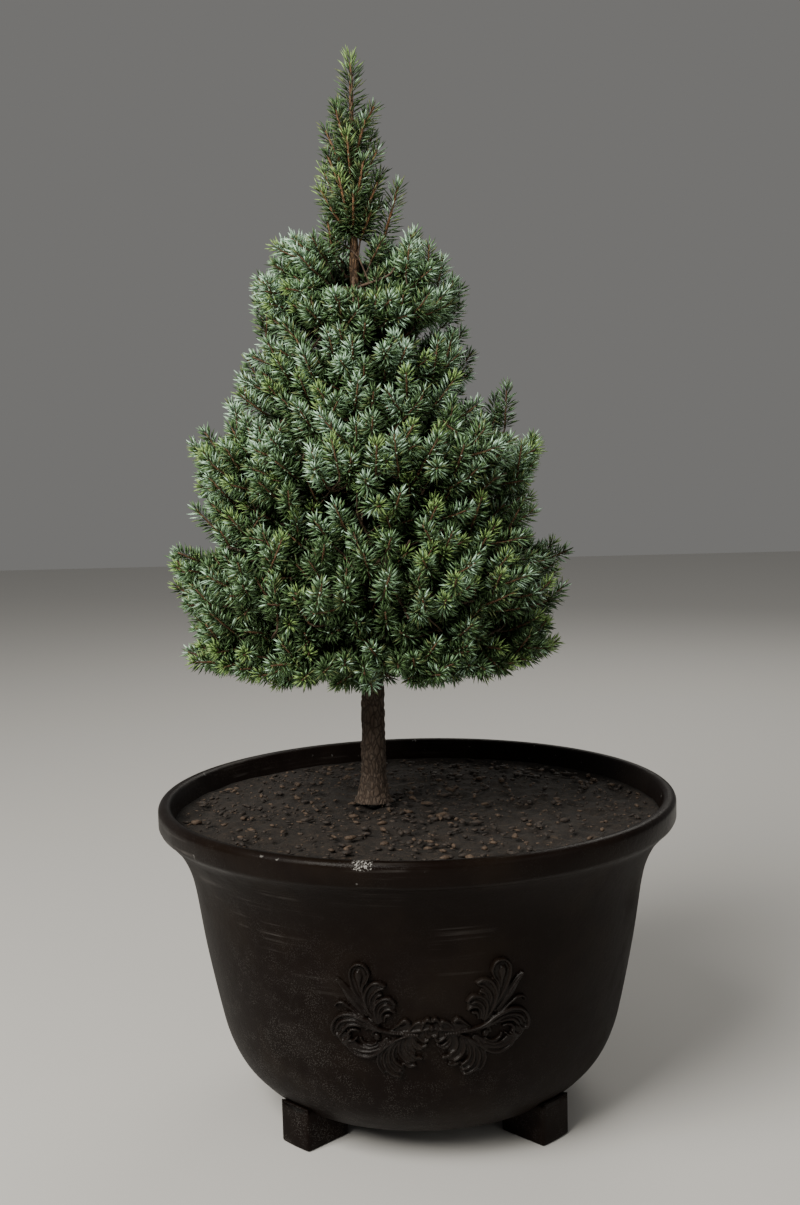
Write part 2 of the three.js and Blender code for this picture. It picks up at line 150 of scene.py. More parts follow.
# The bark's relief: its scales' width as a share of their height, how steep their edges are, which level
# counts as even, how rough they are and in what size, and the most it stands out as a share of a radius
BARK_STRETCH = 0.45
BARK_PLATE_EDGE = 2.4
BARK_PLATE_MIDDLE = 0.55
BARK_ROUGHNESS = 0.5
BARK_ROUGHNESS_SCALE = 0.6
BARK_THICKEST = 0.16

# Trunk radius at a height above the ground: root flare, stem, leader
TRUNK_RADII = [
    (SOIL_TOP, 0.019), (SOIL_TOP + 0.009, 0.0145), (SOIL_TOP + 0.028, 0.012), (0.400, 0.0105),
    (0.600, 0.0074), (0.790, 0.0044), (0.880, 0.0028), (TRUNK_TIP, 0.0015),
]

# The crown's outline as height above the ground and reach from the trunk, from underneath to the tip
CROWN = [
    (0.412, 0.052), (0.400, 0.102), (0.410, 0.150), (0.427, 0.185), (0.446, 0.174), (0.471, 0.183),
    (0.492, 0.193), (0.512, 0.197), (0.532, 0.187), (0.556, 0.170), (0.580, 0.162), (0.600, 0.168),
    (0.620, 0.173), (0.638, 0.162), (0.654, 0.134), (0.676, 0.118), (0.702, 0.113), (0.728, 0.095),
    (0.758, 0.104), (0.782, 0.093), (0.808, 0.078), (0.820, 0.052), (0.832, 0.043), (0.858, 0.044),
    (0.885, 0.035), (0.930, 0.029), (0.950, 0.020), (0.968, 0.015), (TREE_TOP, 0.002),
]

# Whorls of boughs: name, count, height, turn of the first, bough radius
WHORLS = [
    ("skirt", 7, 0.440, 12, 0.0046),
    ("lower", 6, 0.521, 38, 0.0044),
    ("middle", 5, 0.608, 16, 0.0038),
    ("upper", 4, 0.695, 52, 0.0032),
    ("shoulder", 3, 0.774, 30, 0.0027),
]

# Boughs, and the stems that go on from them, mostly as shares of the crown's reach at their mass's height
BOUGH_TAPER = 0.42
BOUGH_END = 0.46
BOUGH_RISE = 0.42
BOUGH_SAG = 0.05
BOUGH_END_DROP = 0.004
BOUGH_SIDES = 12
BOUGH_STEPS = 44
BOUGH_BARK = (420, 0.0007)
STEM_LENGTH = 0.34
STEM_RISE = 0.1
STEM_TAPER = 0.55
MASS_CENTRE = 0.58

# Sprays by the rule of the solids
SPRAY_COUNT = 350
SPRAY_LENGTH = 0.038
SPRAY_VARIATION = 0.24
REACH_LOSS = 0.1
ANGLE_JITTER = 0.12
SIDEWAYS_JITTER = 0.5
LIFT = 0.58
OUTWARD_PULL = 0.3
SURFACE_PULL = 0.6
LEAST_OUTWARD = 0.35
STEEPEST_DOWN = -0.9
ROOT_FLOOR = 0.425
LEADER_LIFT = 0.95
LEADER_CROWDING = 1.7
LEADER_SPRAY_SCALE = 0.75

# Twigs: the places along a limb where they may leave it, how they lean and how far their ends pull them
TWIG_STARTS = (0.55, 1.98, 16)
TWIG_LEAN = 0.4
TWIG_STEPS = 7
TWIG_FREE_STEPS = 2
TWIGLET_STEPS = 4
TWIGLET_REACH = 0.012
LEAVING_PULL = 0.35
ARRIVING_PULL = 0.3
START_IN_BARK = 0.5

# Shoots on the leader: how steeply they rise and where from, how far they stay inside the sprays' tips at a
# height, and their needles' density, length and width as shares of the look's. The top is one shoot alone.
LEADER_RISE = 1.5
LEADER_LEAST_RISE = 0.022
LEADER_TWIG_RISE = 0.6
LEADER_ROOTS = (0.812, 0.945)
LEADER_INSETS = [(0.832, 0.010), (0.858, 0.009), (0.872, 0.005), (0.935, 0.003), (0.955, 0.006)]
LEADER_NEEDLES = (0.88, 1.14, 0.92)
# Steps darker on the leader's shoots: partly their duller colour, partly painted shade
LEADER_SHADE_DROP = 2.18
LEADER_STEM_NEEDLES_FROM = 0.895
LEADER_ALONE_FROM = 0.938
TIP_NEEDLES = (0.98, 1.32, 0.95)
TIP_LEVEL_DROP = 1.1
TIP_CLEAR = 0.0118

# Where the stem shows bare between the shoulder and the leader: azimuth, half width, heights
BARE_AZIMUTH = -90
BARE_HALF_WIDTH = 40
BARE_HEIGHTS = (0.757, 0.838)
BARE_STEM_DROP = 0.34

# Shoots that cover the twigs under the bare stem: count, nearest and furthest, length, spread and lean
COVER_SHOOTS = 34
COVER_REACHES = (0.010, 0.080)
COVER_SHOOT_LENGTH = 0.030
COVER_SPREAD = 2.2
COVER_LEAN = 0.4

# Notches in the crown's sides: azimuth, half width, lowest and highest tip, least reach
NOTCHES = [
    (0, 26, 0.655, 0.700, 0.106), (0, 30, 0.630, 0.650, 0.138), (0, 30, 0.528, 0.558, 0.166),
    (180, 30, 0.630, 0.664, 0.108), (180, 30, 0.532, 0.562, 0.148),
]

# Shoots that stand by themselves: azimuth, then reach and height of root and tip
STANDING_SHOOTS = [
    (-8, (0.027, 0.806), (0.045, 0.859)), (205, (0.020, 0.795), (0.027, 0.829)),
    (-40, (0.008, 0.808), (0.026, 0.836)), (-30, (0.018, 0.788), (0.034, 0.810)),
    (-5, (0.048, 0.775), (0.059, 0.819)), (-12, (0.075, 0.735), (0.096, 0.772)),
    (178, (0.086, 0.668), (0.106, 0.706)), (0, (0.133, 0.634), (0.137, 0.677)),
    (10, (0.124, 0.632), (0.131, 0.668)), (184, (0.124, 0.606), (0.150, 0.640)),
    (172, (0.130, 0.600), (0.156, 0.628)), (-3, (0.146, 0.592), (0.162, 0.630)),
    (0, (0.078, 0.738), (0.103, 0.766)), (8, (0.080, 0.728), (0.103, 0.752)),
    (-3, (0.076, 0.700), (0.104, 0.725)), (5, (0.086, 0.680), (0.111, 0.707)),
    (-84, (0.062, 0.710), (0.097, 0.727)), (-86, (0.078, 0.672), (0.113, 0.692)),
    (-83, (0.090, 0.648), (0.125, 0.668)), (-85, (0.122, 0.628), (0.157, 0.646)),
    (-98, (0.064, 0.704), (0.100, 0.722)), (-72, (0.070, 0.690), (0.106, 0.707)),
    (-52, (0.036, 0.750), (0.030, 0.780)),
]
STANDING_LEVEL = 2.2

# Finer shoots in layers from the crown's surface inward: count, inset and length of the shoots, then their
# needles' density, length and width as shares of the look's. From the third layer on they are inner shoots.
LAYERS = [
    (780, 0.0, 0.042, (1.0, 1.0, 1.0)),
    (700, 0.020, 0.038, (0.85, 1.02, 1.15)),
    (600, 0.044, 0.032, (0.50, 1.15, 1.9)),
    (400, 0.070, 0.028, (0.40, 1.3, 2.6)),
    (240, 0.105, 0.030, (0.35, 1.4, 3.2)),
]
OUTER_NEEDLES = LAYERS[0][3]
SECOND_NEEDLES = LAYERS[1][3]
OUTER_LAYERS = 2
CROWN_FLOOR = 0.416
CROWN_FLOOR_RISE = 0.5
TRUNK_CLEAR = 0.022
TUFT_SCALE = 21
TUFT_DEPTH = 0.018
SHOOT_SPREAD = 0.26
SHOOT_DROOP = 0.16

# Short shoots close to the trunk, dark as dead twigs in painted shade: count, heights, rise, reaches, then
# their needles as in the layers
AXIS_COUNT = 180
AXIS_HEIGHTS = (0.432, 0.762)
AXIS_RISE = 0.016
AXIS_REACHES = (0.024, 0.042)
AXIS_NEEDLES = (0.40, 1.3, 2.6)

# How needles stand on a shoot. Along it they close up towards its tip, and both they and the shoot rise.
LEAST_NEEDLES = 8
NEEDLE_TILT = 76
TILT_LOSS = 18
TILT_LOSS_AT_TIP = 34
TILT_SPREAD = 7
TURN_JITTER = 0.25
SHOOT_RISE = 0.11
NEEDLE_AXIS_RISE = 0.22
NEEDLE_RISE = 0.07
NEEDLE_OVERHANG = 0.7
NEEDLE_LENGTHS = (0.84, 1.10)
NEEDLE_WIDTHS = (0.85, 1.15)
SHORTER_AT_TIP = 0.18
NEEDLE_BELLY = 0.62
NEEDLE_PLACES = (0.1, 0.9)
FRAME_ASIDE = (0.31, 0.17, 1.0)
PIECE_TRIANGLES = 190000
TRIANGLES_A_NEEDLE = 6

# The wood of a shoot ends before its needles do: how much shorter it is, and the places of its rings
SHOOT_WOOD_SHORTER = 0.004
SHOOT_WOOD_STEPS = (0, 0.45, 0.9)

# Wood made as tubes: its radii at the root and the tip, and its sides
TWIG_TUBE = ((0.0016, 0.0009), 5)
TWIGLET_TUBE = ((0.0009, 0.0009), 3)
SHOOT_TUBE = ((0.0011, 0.0007), 4)
LEADER_SHOOT_TUBE = ((0.0014, 0.0009), 6)


class PlanterLook(PropertyGroup):
    """Sizes and colours of the planter and its soil"""

    charcoal: FloatVectorProperty(
        name="Charcoal", description="Main colour of the planter", subtype="COLOR",
        default=(0.0062, 0.0036, 0.0027), min=0, max=1)
    # Also the colour of the painted sheen: level streaks high on the planter's upper left
    dust_and_sheen: FloatVectorProperty(
        name="Dust", description="Colour of the dusty patches and flecks on the planter", subtype="COLOR",
        default=(0.080, 0.073, 0.068), min=0, max=1)
    relief_height: FloatProperty(
        name="Relief height", description="How far the carved leaves stand out", default=0.0052,
        unit="LENGTH", min=0.001, max=0.008)
    relief_turn: FloatProperty(
        name="Relief turn", description="How far the relief is turned from the front",
        default=math.radians(1.8), unit="ROTATION")
    relief_level: FloatProperty(
        name="Relief level", description="Height of the relief's middle", default=0.140, unit="LENGTH")
    soil: FloatVectorProperty(
        name="Soil", description="Main colour of the potting soil", subtype="COLOR",
        default=(0.020, 0.014, 0.010), min=0, max=1)
    crumbs: IntProperty(
        name="Crumbs", description="Number of loose crumbs and bark chips on the soil", default=1600, min=0)


class TreeLook(PropertyGroup):
    """Sizes and colours of the tree"""

    needle_length: FloatProperty(
        name="Needle length", description="Length of a needle at the middle of a shoot", default=0.0144,
        unit="LENGTH", min=0.005, max=0.025)
    needle_width: FloatProperty(
        name="Needle width", description="Width of a needle at its widest", default=0.00160,
        unit="LENGTH", min=0.0005, max=0.003)
    needles_per_metre: FloatProperty(
        name="Needles per metre", description="Needles along a metre of shoot", default=2050, min=100)
    old_bark: FloatVectorProperty(
        name="Old bark", description="Colour of the bark near the soil", subtype="COLOR",
        default=(0.090, 0.062, 0.044), min=0, max=1)
    young_bark: FloatVectorProperty(
        name="Young bark", description="Colour of the bark on young shoots", subtype="COLOR",
        default=(0.150, 0.085, 0.045), min=0, max=1)


class StudioLook(PropertyGroup):
    """The camera and the light"""

    camera_place: FloatVectorProperty(
        name="Camera", description="Place of the camera", subtype="TRANSLATION",
        default=(-0.0113, -1.377, 0.631))
    lens: FloatProperty(
        name="Lens", description="Focal length in millimetres", default=44.2, min=10, max=200)
    pitch: FloatProperty(
        name="Pitch", description="How far the camera looks down", default=math.radians(6.5),
        unit="ROTATION")
    roll: FloatProperty(
        name="Roll", description="How far the picture leans to the left", default=math.radians(1.4),
        unit="ROTATION")
    key_power: FloatProperty(
        name="Key light", description="Power of the large light above the left shoulder", default=140,
        unit="POWER")
    fill_power: FloatProperty(
        name="Fill light", default=20, unit="POWER",
        description="Power of the light from behind, of which the light from the right has two fifths")
    sky: FloatProperty(name="Sky", description="Strength of the light from all round", default=0.175, min=0)


class Wire:
    """A shader socket that takes part in plain expressions."""

    def __init__(self, finish, socket):
        self.finish = finish
        self.socket = socket

    def maths(self, operation, first, second):
        node = self.finish.add("ShaderNodeMath", {"operation": operation}, {0: first, 1: second})
        return Wire(self.finish, node.outputs[0])

    def __add__(self, other):
        return self.maths("ADD", self, other)

    __radd__ = __add__

    def __sub__(self, other):
        return self.maths("SUBTRACT", self, other)

    def __mul__(self, other):
        return self.maths("MULTIPLY", self, other)

    __rmul__ = __mul__

    def clamped(self):
        node = self.finish.add("ShaderNodeClamp", {}, {"Value": self})
        return Wire(self.finish, node.outputs[0])

    def step(self, low, high):
        """0 below low, 1 above high and smooth between."""
        node = self.finish.add(
            "ShaderNodeMapRange", {"interpolation_type": "SMOOTHSTEP"},
            {"Value": self, "From Min": low, "From Max": high})
        return Wire(self.finish, node.outputs[0])


class Finish:
    """A procedural material and the nodes it is made of."""

    def __init__(self, name, roughness=0.5):
        self.material = bpy.data.materials.new(name)
        self.material.use_nodes = True
        self.tree = self.material.node_tree
        self.shader = self.tree.nodes["Principled BSDF"]
        self.set("Roughness", roughness)
        place = self.add("ShaderNodeTexCoord")
        self.place = Wire(self, place.outputs["Object"])
        split = self.add("ShaderNodeSeparateXYZ", {}, {0: self.place})
        self.x, self.y, self.z = (Wire(self, split.outputs[axis]) for axis in "XYZ")

    def feed(self, socket, value):
        if isinstance(value, Wire):
            self.tree.links.new(value.socket, socket)
        else:
            socket.default_value = value

    def add(self, kind, settings=None, inputs=None):
        """Adds any node: its settings first, then the values or links of its sockets."""
        node = self.tree.nodes.new(kind)
        for name, value in (settings or {}).items():
            setattr(node, name, value)
        for name, value in (inputs or {}).items():
            self.feed(node.inputs[name], value)
        return node

    def set(self, name, value):
        if isinstance(value, tuple) and len(value) == 3:
            value = (*value, 1)
        self.feed(self.shader.inputs[name], value)

    def stretched(self, scale):
        """Places scaled by a share along each axis, for a pattern that runs one way."""
        node = self.add("ShaderNodeMapping", {}, {"Vector": self.place, "Scale": scale})
        return Wire(self, node.outputs[0])

    def noise(self, scale, detail, roughness=0.55, distortion=0, vector=None):
        node = self.add("ShaderNodeTexNoise", {}, {
            "Vector": vector or self.place, "Scale": scale, "Detail": detail, "Roughness": roughness,
            "Distortion": distortion})
        return Wire(self, node.outputs["Fac"])

    def cells(self, scale, feature="F1", vector=None):
        node = self.add("ShaderNodeTexVoronoi", {"feature": feature}, {
            "Vector": vector or self.place, "Scale": scale})
        return Wire(self, node.outputs["Distance"])

    def mix(self, factor, first, second):
        node = self.add("ShaderNodeMix", {"data_type": "RGBA"}, {0: factor})
        for socket, colour in ((node.inputs[6], first), (node.inputs[7], second)):
            self.feed(socket, colour if isinstance(colour, Wire) else (*colour, 1))
        return Wire(self, node.outputs[2])

    def bump(self, height, distance, strength):
        relief = {"Height": height, "Distance": distance, "Strength": strength}
        self.set("Normal", Wire(self, self.add("ShaderNodeBump", {}, relief).outputs[0]))


def interpolate(rows, key):
    """The value of a table of (key, value) rows at one key."""
    return float(np.interp(key, [row[0] for row in rows], [row[1] for row in rows]))


def place_piece(name, mesh, finishes, nodes):
    """Links a finished mesh, with its materials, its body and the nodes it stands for."""
    piece = bpy.data.objects.new(name, mesh)
    bpy.context.scene.collection.objects.link(piece)
    for finish in finishes:
        mesh.materials.append(finish.material)
    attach(piece, BODY)
    if nodes:
        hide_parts(*nodes)
    return piece


def closed_mesh(work, name):
    """Turns a bmesh into a mesh, with its doubles merged and its faces pointing out."""
    bmesh.ops.remove_doubles(work, verts=work.verts, dist=DOUBLES)
    bmesh.ops.recalc_face_normals(work, faces=work.faces)
    return plain_mesh(work, name)


def plain_mesh(work, name):
    """Turns a bmesh into a mesh as it is."""
    for face in work.faces:
        face.smooth = True
    mesh = bpy.data.meshes.new(name)
    work.to_mesh(mesh)
    work.free()
    return mesh


def turned(profile, steps):
    """A bmesh of a (radius, height) profile turned round the vertical axis."""
    work = bmesh.new()
    verts = [work.verts.new((radius, 0, height)) for radius, height in profile]
    edges = [work.edges.new(pair) for pair in zip(verts, verts[1:])]
    bmesh.ops.spin(
        work, geom=verts + edges, cent=(0, 0, 0), axis=(0, 0, 1), angle=2 * math.pi, steps=steps,
        use_merge=True)
    bmesh.ops.remove_doubles(work, verts=work.verts, dist=DOUBLES)
    return work


def smooth_line(points, steps):
    """A Catmull-Rom line through points, with a number of steps in each stretch."""
    points = np.array(points, float)
    padded = np.vstack([2 * points[0] - points[1], points, 2 * points[-1] - points[-2]])
    t = np.linspace(0, 1, steps, endpoint=False)[:, None]
    line = []
    for before, start, end, after in zip(padded, padded[1:], padded[2:], padded[3:]):
        line.append(0.5 * (
            2 * start + (end - before) * t + (2 * before - 5 * start + 4 * end - after) * t ** 2
            + (3 * start - before - 3 * end + after) * t ** 3))
    return np.vstack([*line, points[-1:]])


def arc(centre, radius, start, end, steps):
    """Points of an arc in a profile, from a start angle to an end angle in degrees."""
    angles = np.radians(np.linspace(start, end, steps + 1))
    return [(centre[0] + radius * math.cos(a), centre[1] + radius * math.sin(a)) for a in angles]


BOWL_LINE = smooth_line(BOWL_SIDE, BOWL_SMOOTHING)


def bowl_radius(height):
    return np.interp(height, BOWL_LINE[:, 1], BOWL_LINE[:, 0])


# The tree's plan: the same rule as in the solids
def seeded(seed):
    """A repeatable source of random numbers from 0 to 1."""
    mask = 0xFFFFFFFF
    state = seed
    while True:
        state = (state + 0x6D2B79F5) & mask
        mixed = ((state ^ (state >> 15)) * (state | 1)) & mask
        mixed ^= (mixed + (((mixed ^ (mixed >> 7)) * (mixed | 61)) & mask)) & mask
        yield ((mixed ^ (mixed >> 14)) & mask) / 4294967296


def trunk_centre(height):
    t = (height - SOIL_TOP) / (TRUNK_TIP - SOIL_TOP)
    return Vector((
        TRUNK_X + TRUNK_LEAN * t + TRUNK_BEND * math.sin(2 * math.pi * t),
        TRUNK_Y + TRUNK_BEND * math.sin(3 * math.pi * t),
        height,
    ))


def trunk_radius(height):
    return interpolate(TRUNK_RADII, height)


def crown_reach(height):
    return interpolate(CROWN[1:], height)


def towards(azimuth):
    """The level unit vector that points to an azimuth in radians."""
    return Vector((math.cos(azimuth), math.sin(azimuth), 0))


def from_trunk(spot):
    """The level vector to a spot from the trunk's foot."""
    return Vector((spot.x - TRUNK_X, spot.y - TRUNK_Y, 0))


def trunk_distance(spot):
    """How far a spot lies from the trunk's foot, seen from above."""
    return math.hypot(spot.x - TRUNK_X, spot.y - TRUNK_Y)


def aside(azimuth, turn):
    """How many degrees an azimuth in radians lies to either side of a turn in degrees."""
    return abs((math.degrees(azimuth) - turn + 180) % 360 - 180)


def faces_bare_stem(azimuth, height):
    """Whether a place lies before the stretch of stem that shows bare at the front."""
    return aside(azimuth, BARE_AZIMUTH) < BARE_HALF_WIDTH and BARE_HEIGHTS[0] < height < BARE_HEIGHTS[1]


class Mass:
    """One mass of foliage with the bough and the stem that carry it."""

    def __init__(self, name, height, azimuth, thick):
        self.name = name
        self.outward = towards(azimuth)
        reach = crown_reach(height)
        self.centre = trunk_centre(height) + self.outward * reach * MASS_CENTRE
        self.tip = trunk_centre(height) + self.outward * reach * BOUGH_END
        self.tip.z -= BOUGH_END_DROP
        self.root = trunk_centre(height - reach * BOUGH_END * BOUGH_RISE)
        self.bend = self.root.lerp(self.tip, 0.5)
        self.bend.z -= reach * BOUGH_END * BOUGH_SAG
        self.stem_end = self.tip + self.outward * reach * STEM_LENGTH
        self.stem_end.z += reach * (STEM_RISE - BARE_STEM_DROP * faces_bare_stem(azimuth, height))
        self.thick = thick

    def limb_point(self, t):
        """A point along the bough, t from 0 to 1, and then along the stem, t from 1 to 2."""
        if t > 1:
            return self.tip.lerp(self.stem_end, t - 1)
        return self.root.lerp(self.bend, t).lerp(self.bend.lerp(self.tip, t), t)

    def limb_radius(self, t):
        if t < 1:
            return self.thick * (1 - BOUGH_TAPER * t)
        return self.thick * (1 - BOUGH_TAPER) * (1 + STEM_TAPER - STEM_TAPER * t)


class LeaderMass:
    """The mass round the leader, carried by the trunk itself."""

    name = "leader"

    def __init__(self):
        self.centre = trunk_centre(LEADER_FOOT + LEADER_CENTRE)


MASSES = [
    Mass(f"{name}_{k + 1}", height, math.radians(turn + 360 / count * k), thick)
    for name, count, height, turn, thick in WHORLS for k in range(count)
] + [LeaderMass()]


def nearest_mass(tip, masses=MASSES):
    """The mass whose centre is nearest to the tip of a spray or shoot."""
    return min(masses, key=lambda mass: (mass.centre - tip).length)


class CrownSurface:
    """The crown's surface of revolution with its area summed up, more of it on the leader."""

    def __init__(self):
        self.areas = [0]
        for (low, near), (high, far) in zip(CROWN, CROWN[1:]):
            crowding = LEADER_CROWDING if high > LEADER_FOOT else 1
            slant = math.hypot(high - low, far - near)
            self.areas.append(self.areas[-1] + slant * crowding * (near + far) / 2)

    def ring(self, share):
        """Height, reach and outward normal of the ring below which a share of the area lies."""
        target = share * self.areas[-1]
        i = max(1, next(k for k, area in enumerate(self.areas) if area >= target))
        (low, near), (high, far) = CROWN[i - 1], CROWN[i]
        t = (target - self.areas[i - 1]) / (self.areas[i] - self.areas[i - 1])
        slant = math.hypot(high - low, far - near)
        return low + (high - low) * t, near + (far - near) * t, (high - low) / slant, (near - far) / slant


class Spray:
    """A spray of shoots: where its tip is, how it points and which mass it belongs to."""

    def __init__(self, tip, direction, normal, length, mass):
        self.tip = tip
        self.direction = direction
        self.normal = normal
        self.length = length
        self.mass = mass
        self.point_out()

    def point_out(self):
        """Turns the spray out of the crown's surface, with its root above the crown's floor."""
        lack = max(0, LEAST_OUTWARD - self.direction.dot(self.normal))
        self.direction = (self.direction + self.normal * lack).normalized()
        steepest = max(STEEPEST_DOWN, (self.tip.z - ROOT_FLOOR) / self.length)
        if self.direction.z > steepest:
            flat = Vector((self.direction.x, self.direction.y, 0)).normalized()
            self.direction = flat * math.sqrt(1 - steepest ** 2) + Vector((0, 0, steepest))
        self.root = self.tip - self.direction * self.length


def crown_sprays(count, seed, inset=0, length=SPRAY_LENGTH):
    """Sprays by the rule of the solids, their tips on one spiral up the crown's surface, evenly by area."""
    surface = CrownSurface()
    draw = seeded(seed)
    sprays = []
    for k in range(count):
        draws = [next(draw) for _ in range(4)]
        height, reach, normal_out, normal_up = surface.ring((k + 0.5) / count)
        angle = k * GOLDEN_ANGLE + (draws[0] - 0.5) * ANGLE_JITTER
        outward = towards(angle)
        on_leader = height > LEADER_FOOT
        scale = (LEADER_SPRAY_SCALE if on_leader else 1) * (1 + SPRAY_VARIATION * (draws[1] - 0.5))
        tip = trunk_centre(min(height, TRUNK_TIP)) + outward * reach * (1 - REACH_LOSS * draws[2] ** 2)
        tip.z = height
        direction = outward * (OUTWARD_PULL + SURFACE_PULL * normal_out)
        direction.z = (LEADER_LIFT if on_leader else LIFT) + SURFACE_PULL * normal_up
        side = Vector((-outward.y, outward.x, 0))
        direction = (direction.normalized() + side * (draws[3] - 0.5) * SIDEWAYS_JITTER).normalized()
        normal = outward * normal_out + Vector((0, 0, normal_up))
        tip -= normal * inset
        sprays.append(Spray(tip, direction, normal, length * scale, nearest_mass(tip)))
    return sprays


def left_open(tip):
    """Whether a tip lies before the bare stretch of stem or in a notch in the crown's side."""
    azimuth = math.atan2(tip.y - TRUNK_Y, tip.x - TRUNK_X)
    reach = trunk_distance(tip)
    notched = any(
        aside(azimuth, turn) < width and low < tip.z < high and reach > least
        for turn, width, low, high, least in NOTCHES)
    return notched or faces_bare_stem(azimuth, tip.z)


def bent_path(start, leave, end, arrive, count):
    """Points of a curve that leaves its start in one direction and arrives at its end in another."""
    length = (end - start).length
    t = np.linspace(0, 1, count)[:, None]
    one, two = np.array(start), np.array(start + leave * length * LEAVING_PULL)
    three, four = np.array(end - arrive * length * ARRIVING_PULL), np.array(end)
    return one * (1 - t) ** 3 + 3 * two * t * (1 - t) ** 2 + 3 * three * t ** 2 * (1 - t) + four * t ** 3


class Shoot:
    """A needled shoot: its place and mass, the size and number of its needles and their colours."""

    def __init__(self, root, ahead, length, mass, needles, inner, level, fresh):
        self.root = root
        self.ahead = ahead
        self.length = length
        self.mass = mass
        self.needles = needles
        self.inner = inner
        self.level = level
        self.fresh = fresh
        self.on_leader = needles in (LEADER_NEEDLES, TIP_NEEDLES)


class Crown:
    """Twigs and shoots, kept as rows for the joined meshes."""

    def __init__(self):
        self.draw = np.random.default_rng(SEED)
        self.twigs = []
        self.twiglets = []
        self.shoots = []
        for spray in crown_sprays(SPRAY_COUNT, SEED):
            if left_open(spray.tip):
                continue
            if spray.tip.z > LEADER_FOOT:
                self.grow_leader_shoot(spray)
            else:
                self.grow_twig(spray)
        self.places = np.vstack([path[TWIG_FREE_STEPS:] for path in self.twigs])
        for layer, row in enumerate(LAYERS):
            self.grow_layer(layer, *row)
        self.grow_axis()
        self.grow_tip()
        for standing in STANDING_SHOOTS:
            self.grow_standing_shoot(*standing)
        self.cover_bare_foot()

    def nearest_twig(self, spot):
        """The place on the twigs that is nearest to a spot."""
        gaps = ((self.places - np.array(spot)) ** 2).sum(axis=1)
        return Vector(self.places[int(np.argmin(gaps))])

    def add_straight(self, root, tip, mass, needles, level, inner=False, fresh=False):
        """A needled shoot straight from its root to its tip."""
        ahead, length = (tip - root).normalized(), (tip - root).length
        self.shoots.append(Shoot(root, ahead, length, mass, needles, inner, level, fresh))

    def grow_layer(self, layer, count, inset, length, needles):
        """One layer of fine shoots, from the leader's foot down."""
        for spray in crown_sprays(count, SEED + 1 + layer, inset, length):
            if spray.tip.z > LEADER_FOOT or left_open(spray.tip) or self.too_deep(spray.tip, inset):
                continue
            if layer < OUTER_LAYERS:
                self.set_back(spray)
            self.vary(spray)
            self.grow_shoot(spray, layer, needles)

    def too_deep(self, tip, inset):
        """Whether a tip set in from the surface has come too near the trunk or too low."""
        too_low = tip.z < CROWN_FLOOR + CROWN_FLOOR_RISE * inset
        return inset > 0 and (trunk_distance(tip) < TRUNK_CLEAR or too_low)

    def set_back(self, spray):
        """Sets a shoot back between the tufts, more the deeper the gap there."""
        gap = max(0, noise.noise(spray.tip * TUFT_SCALE))
        spray.tip -= spray.normal * TUFT_DEPTH * gap
        spray.point_out()

    def vary(self, spray):
        """Turns a fine shoot a little at random and a little down, but still out of the crown."""
        spread = Vector(self.draw.normal(0, SHOOT_SPREAD, 3))
        spread.z -= SHOOT_DROOP
        spray.direction = (spray.direction + spread).normalized()
        spray.point_out()

    def grow_shoot(self, spray, layer, needles):
        """A needled shoot that ends at its spray's tip, and the twiglet to it from the nearest twig."""
        root = spray.root
        start = self.nearest_twig(root - spray.direction * TWIGLET_REACH)
        leave = (root - start).normalized()
        self.twiglets.append(bent_path(start, leave, root, spray.direction, TWIGLET_STEPS))
        level = self.pick_level(spray.tip, layer)
        patch = noise.noise(spray.tip * FRESH_SCALE + FRESH_SHIFT)
        fresh = patch + self.draw.normal(0, FRESH_SPREAD) > FRESH_LIMIT
        inner = layer >= OUTER_LAYERS
        self.shoots.append(
            Shoot(root, spray.direction, spray.length, spray.mass, needles, inner, level, fresh))

    def pick_level(self, tip, layer):
        """A shoot's step on the ladder of needle colours: darker inside and low down with painted shade,
        paler in patches.
        """
        # Inner shoots take fixed dark steps: painted shade deep in the crown, over the older needles'
        # darker green
        if layer >= OUTER_LAYERS:
            return INNER_SHADE_LEVELS[layer - OUTER_LAYERS]
        patch = PATCH_CONTRAST * noise.noise(tip * PATCH_SCALE) + self.draw.normal(0, SHOOT_CONTRAST)
        # Painted shade low down and painted light high up; the second layer darker for older needles and
        # painted shade
        rise = PAINTED_SHADE_BY_HEIGHT * (tip.z - MIDDLE_HEIGHT)
        return OUTER_LEVEL + patch + rise - SECOND_LAYER_SHADE * layer

    def grow_twig(self, spray):
        """The twig from a limb to a spray's root."""
        start, leave = self.twig_start(spray)
        self.twigs.append(bent_path(start, leave, spray.root, spray.direction, TWIG_STEPS))

    def twig_start(self, spray):
        """Where a spray's twig leaves its limb, and in which direction."""
        if isinstance(spray.mass, LeaderMass):
            outward = from_trunk(spray.tip)
            rise = Vector((0, 0, LEADER_TWIG_RISE))
            return self.leader_start(spray.tip, outward), (outward.normalized() + rise).normalized()
        choices = [spray.mass.limb_point(t) for t in np.linspace(*TWIG_STARTS)]
        wanted = spray.root - spray.direction * spray.length
        start = min(choices, key=lambda point: (point - wanted).length)
        return start, ((spray.root - start).normalized() + spray.mass.outward * TWIG_LEAN).normalized()

    def leader_start(self, tip, outward):
        """Where a twig or a shoot towards a tip leaves the leader's stem."""
        height = tip.z - max(LEADER_LEAST_RISE, LEADER_RISE * outward.length)
        height = min(max(height, LEADER_ROOTS[0]), LEADER_ROOTS[1])
        return trunk_centre(height) + outward.normalized() * trunk_radius(height) * START_IN_BARK

